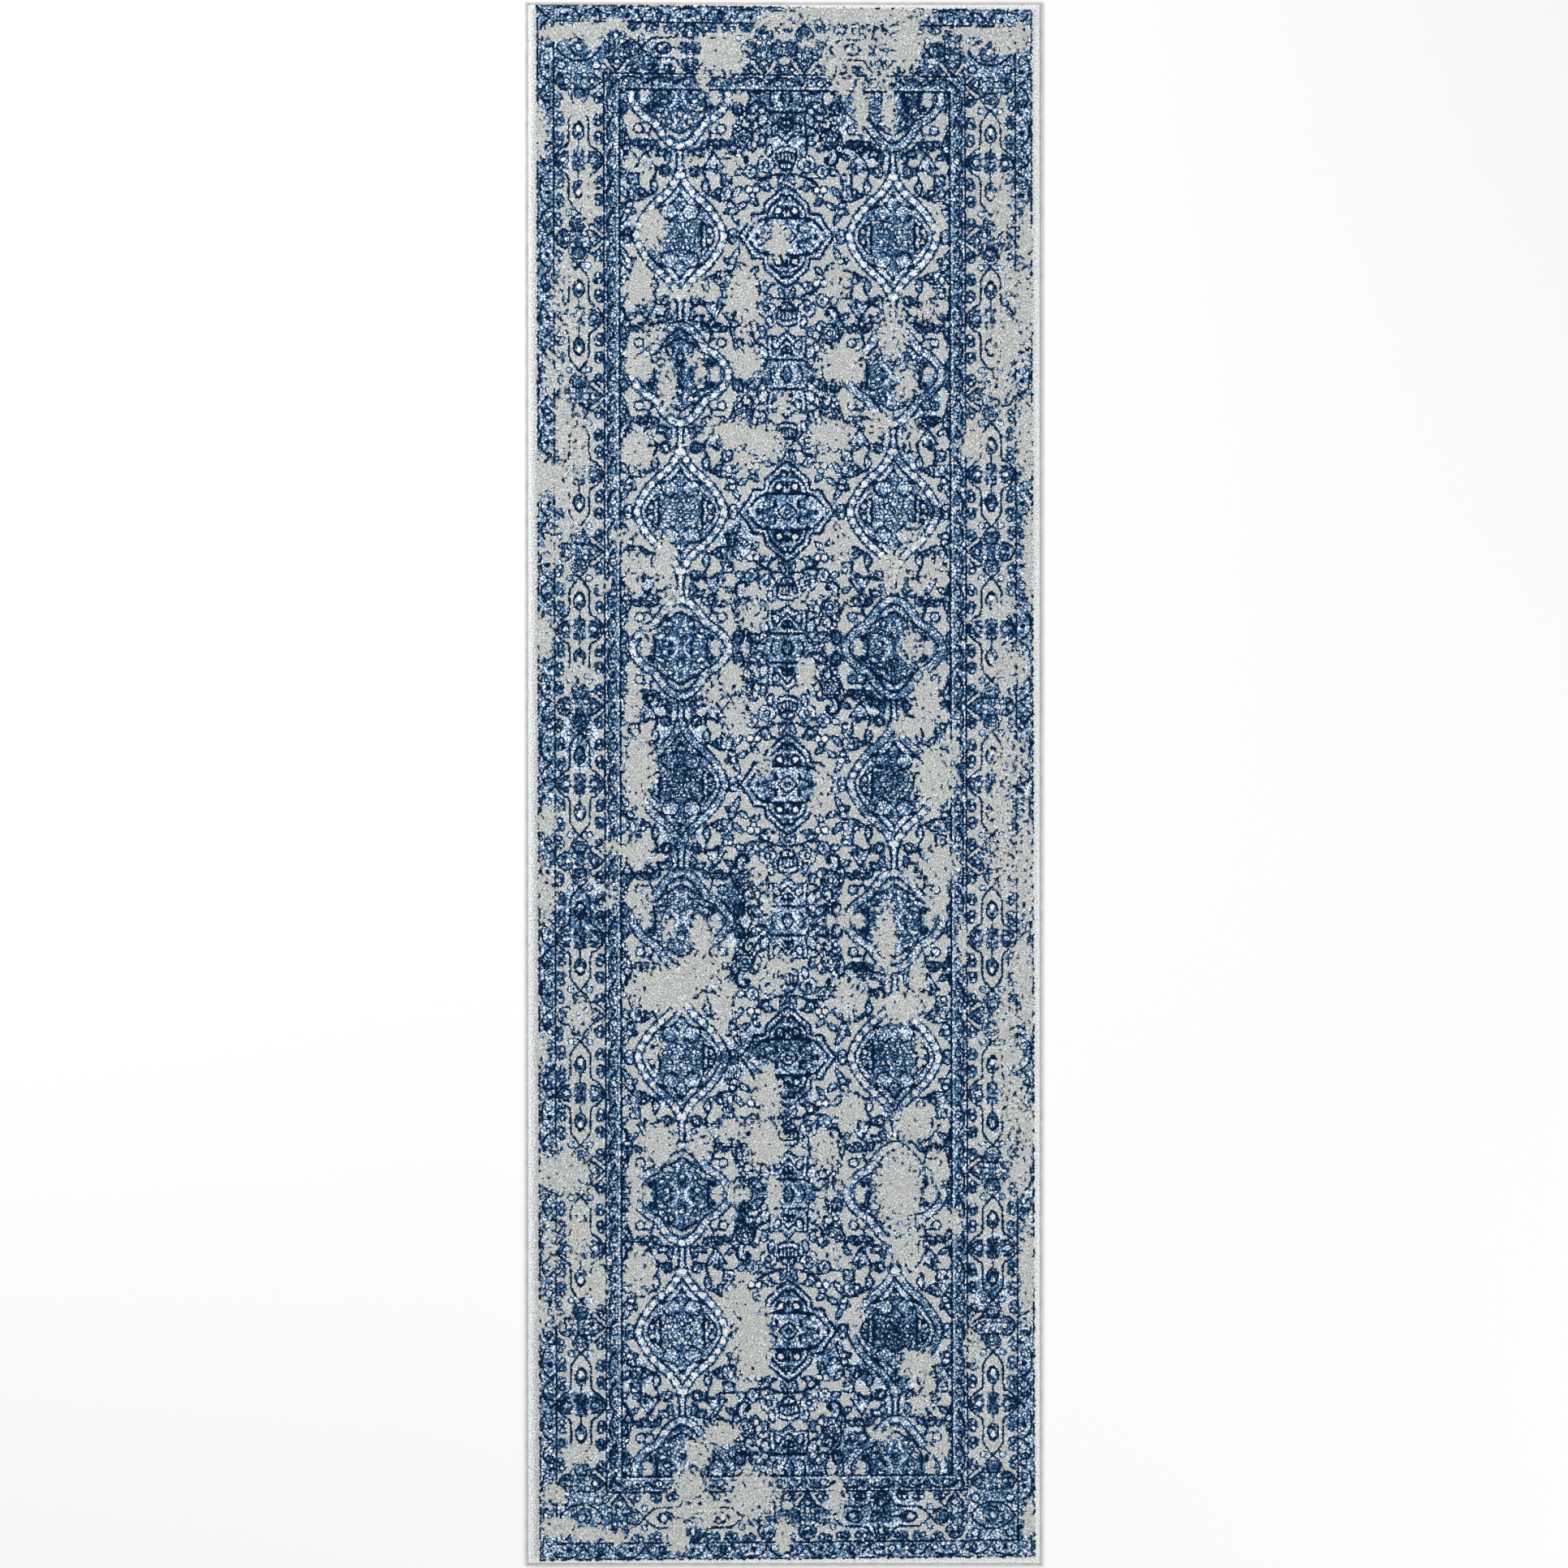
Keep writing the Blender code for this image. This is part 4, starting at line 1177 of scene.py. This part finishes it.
# Overcasting: grey yarn whipped over each edge by machine, turn beside turn, holding the
# cord, the ground weave and the size together.
YARN_GREY = (0.80, 0.78, 0.77, 1.0)
YARN_SHADE = (0.62, 0.59, 0.59, 1.0)
TURN_PITCH = 0.0026
TURN_SLANT = 0.0011
YARN_HALF_WIDTH = 0.00122
YARN_HALF_THICK = 0.00034

yarn_finish = cloth_material("overcast_yarn_wrap", YARN_GREY, YARN_SHADE, 1500.0, 55.0, 0.85, 0.0003)


def one_turn(deep, tall):
    """One turn of yarn over the edge: up from the ground, round the rim and back under."""
    skin = YARN_HALF_THICK
    route = [(deep - skin, tall * 0.80), (deep * 0.72, tall - skin), (deep * 0.34, tall - skin * 1.1),
             (skin * 1.8, tall * 0.86), (skin, tall * 0.5), (skin * 1.8, tall * 0.14),
             (deep * 0.34, skin * 1.1), (deep * 0.72, skin), (deep - skin, tall * 0.20)]
    work = bmesh.new()
    ring = bmesh.ops.create_circle(work, cap_ends=False, segments=6, radius=1.0)["verts"]
    edges = list(work.edges)
    rounds = [ring]
    for _ in route[1:]:
        made = bmesh.ops.extrude_edge_only(work, edges=edges)["geom"]
        edges = [e for e in made if isinstance(e, bmesh.types.BMEdge)]
        rounds.append([v for v in made if isinstance(v, bmesh.types.BMVert)])
    for index, (points, (inward, up)) in enumerate(zip(rounds, route)):
        before, after = route[max(index - 1, 0)], route[min(index + 1, len(route) - 1)]
        ahead = math.atan2(after[1] - before[1], after[0] - before[0])
        lead = TURN_SLANT * (0.5 - index / (len(route) - 1)) * 2
        for point in points:
            wide, thick = point.co.x * YARN_HALF_WIDTH, point.co.y * YARN_HALF_THICK
            point.co = (inward - thick * math.sin(ahead), wide + lead, up + thick * math.cos(ahead))
    bmesh.ops.holes_fill(work, edges=[e for e in work.edges if e.is_boundary], sides=6)
    return work


for side in ("left", "right", "head", "foot"):
    low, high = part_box("overcast_" + side)
    runs_across = side in ("head", "foot")
    deep = (high.y - low.y) if runs_across else (high.x - low.x)
    long_side = (high.x - low.x) if runs_across else (high.y - low.y)
    reach = long_side - 2 * (YARN_HALF_WIDTH + TURN_SLANT)
    turns = int(reach / TURN_PITCH) + 1
    pitch = reach / (turns - 1)
    work = one_turn(deep, high.z - low.z)
    made = 1
    faces_in_turn = len(work.faces)
    while made < turns:
        more = min(made, turns - made)
        work.faces.ensure_lookup_table()
        copied = bmesh.ops.duplicate(work, geom=work.faces[: more * faces_in_turn])["geom"]
        moved = [v for v in copied if isinstance(v, bmesh.types.BMVert)]
        bmesh.ops.translate(work, vec=(0, made * pitch, 0), verts=moved)
        made += more
    start = -long_side / 2 + YARN_HALF_WIDTH + TURN_SLANT
    for point in work.verts:
        inward, along, up = point.co.x, point.co.y + start, point.co.z
        if side == "left":
            point.co = (low.x + inward, along, low.z + up)
        elif side == "right":
            point.co = (high.x - inward, along, low.z + up)
        elif side == "head":
            point.co = (along, high.y - inward, low.z + up)
        else:
            point.co = (along, low.y + inward, low.z + up)
    name = "overcast_turns_" + side
    as_piece(work, name, yarn_finish, "overcast_yarn", "overcast_" + side)


# The floor is a plain white sweep, lit from all round, with the camera straight above.
FLOOR_SIZE = 14.0
CAMERA_LENS = 100.0
VIEW_HEIGHT = 2.4435

work = bmesh.new()
bmesh.ops.create_grid(work, x_segments=8, y_segments=8, size=FLOOR_SIZE / 2)
floor_mesh = bpy.data.meshes.new("floor")
work.to_mesh(floor_mesh)
work.free()
paint = bpy.data.materials.new("floor_paint")
paint.use_nodes = True
paint.node_tree.nodes["Principled BSDF"].inputs["Base Color"].default_value = (0.95, 0.95, 0.95, 1.0)
paint.node_tree.nodes["Principled BSDF"].inputs["Roughness"].default_value = 0.9
floor_mesh.materials.append(paint)
floor = bpy.data.objects.new("floor", floor_mesh)
bpy.context.scene.collection.objects.link(floor)

world = bpy.data.worlds.new("studio")
world.use_nodes = True
world.node_tree.nodes["Background"].inputs["Color"].default_value = (1.0, 1.0, 1.0, 1.0)
world.node_tree.nodes["Background"].inputs["Strength"].default_value = 0.58
bpy.context.scene.world = world


def soft_light(name, power, size, place):
    """A square diffuser hung at a place and turned to the rug's middle."""
    lamp = bpy.data.lights.new(name, "AREA")
    lamp.energy = power
    lamp.size = size
    light = bpy.data.objects.new(name, lamp)
    light.location = place
    light.rotation_euler = (-Vector(place)).to_track_quat("-Z", "Y").to_euler()
    bpy.context.scene.collection.objects.link(light)


soft_light("key", 112.0, 2.5, (-2.6, 2.2, 3.4))
soft_light("fill", 56.0, 3.0, (2.8, -1.8, 3.2))

view = bpy.data.cameras.new("camera")
view.lens = CAMERA_LENS
view.sensor_width = 36.0
view.clip_end = 50.0
camera = bpy.data.objects.new("camera", view)
camera.location = (0.0, 0.0, cad_high.z + VIEW_HEIGHT * CAMERA_LENS / 36.0)
bpy.context.scene.collection.objects.link(camera)
bpy.context.scene.camera = camera
bpy.context.scene.view_settings.view_transform = "Standard"
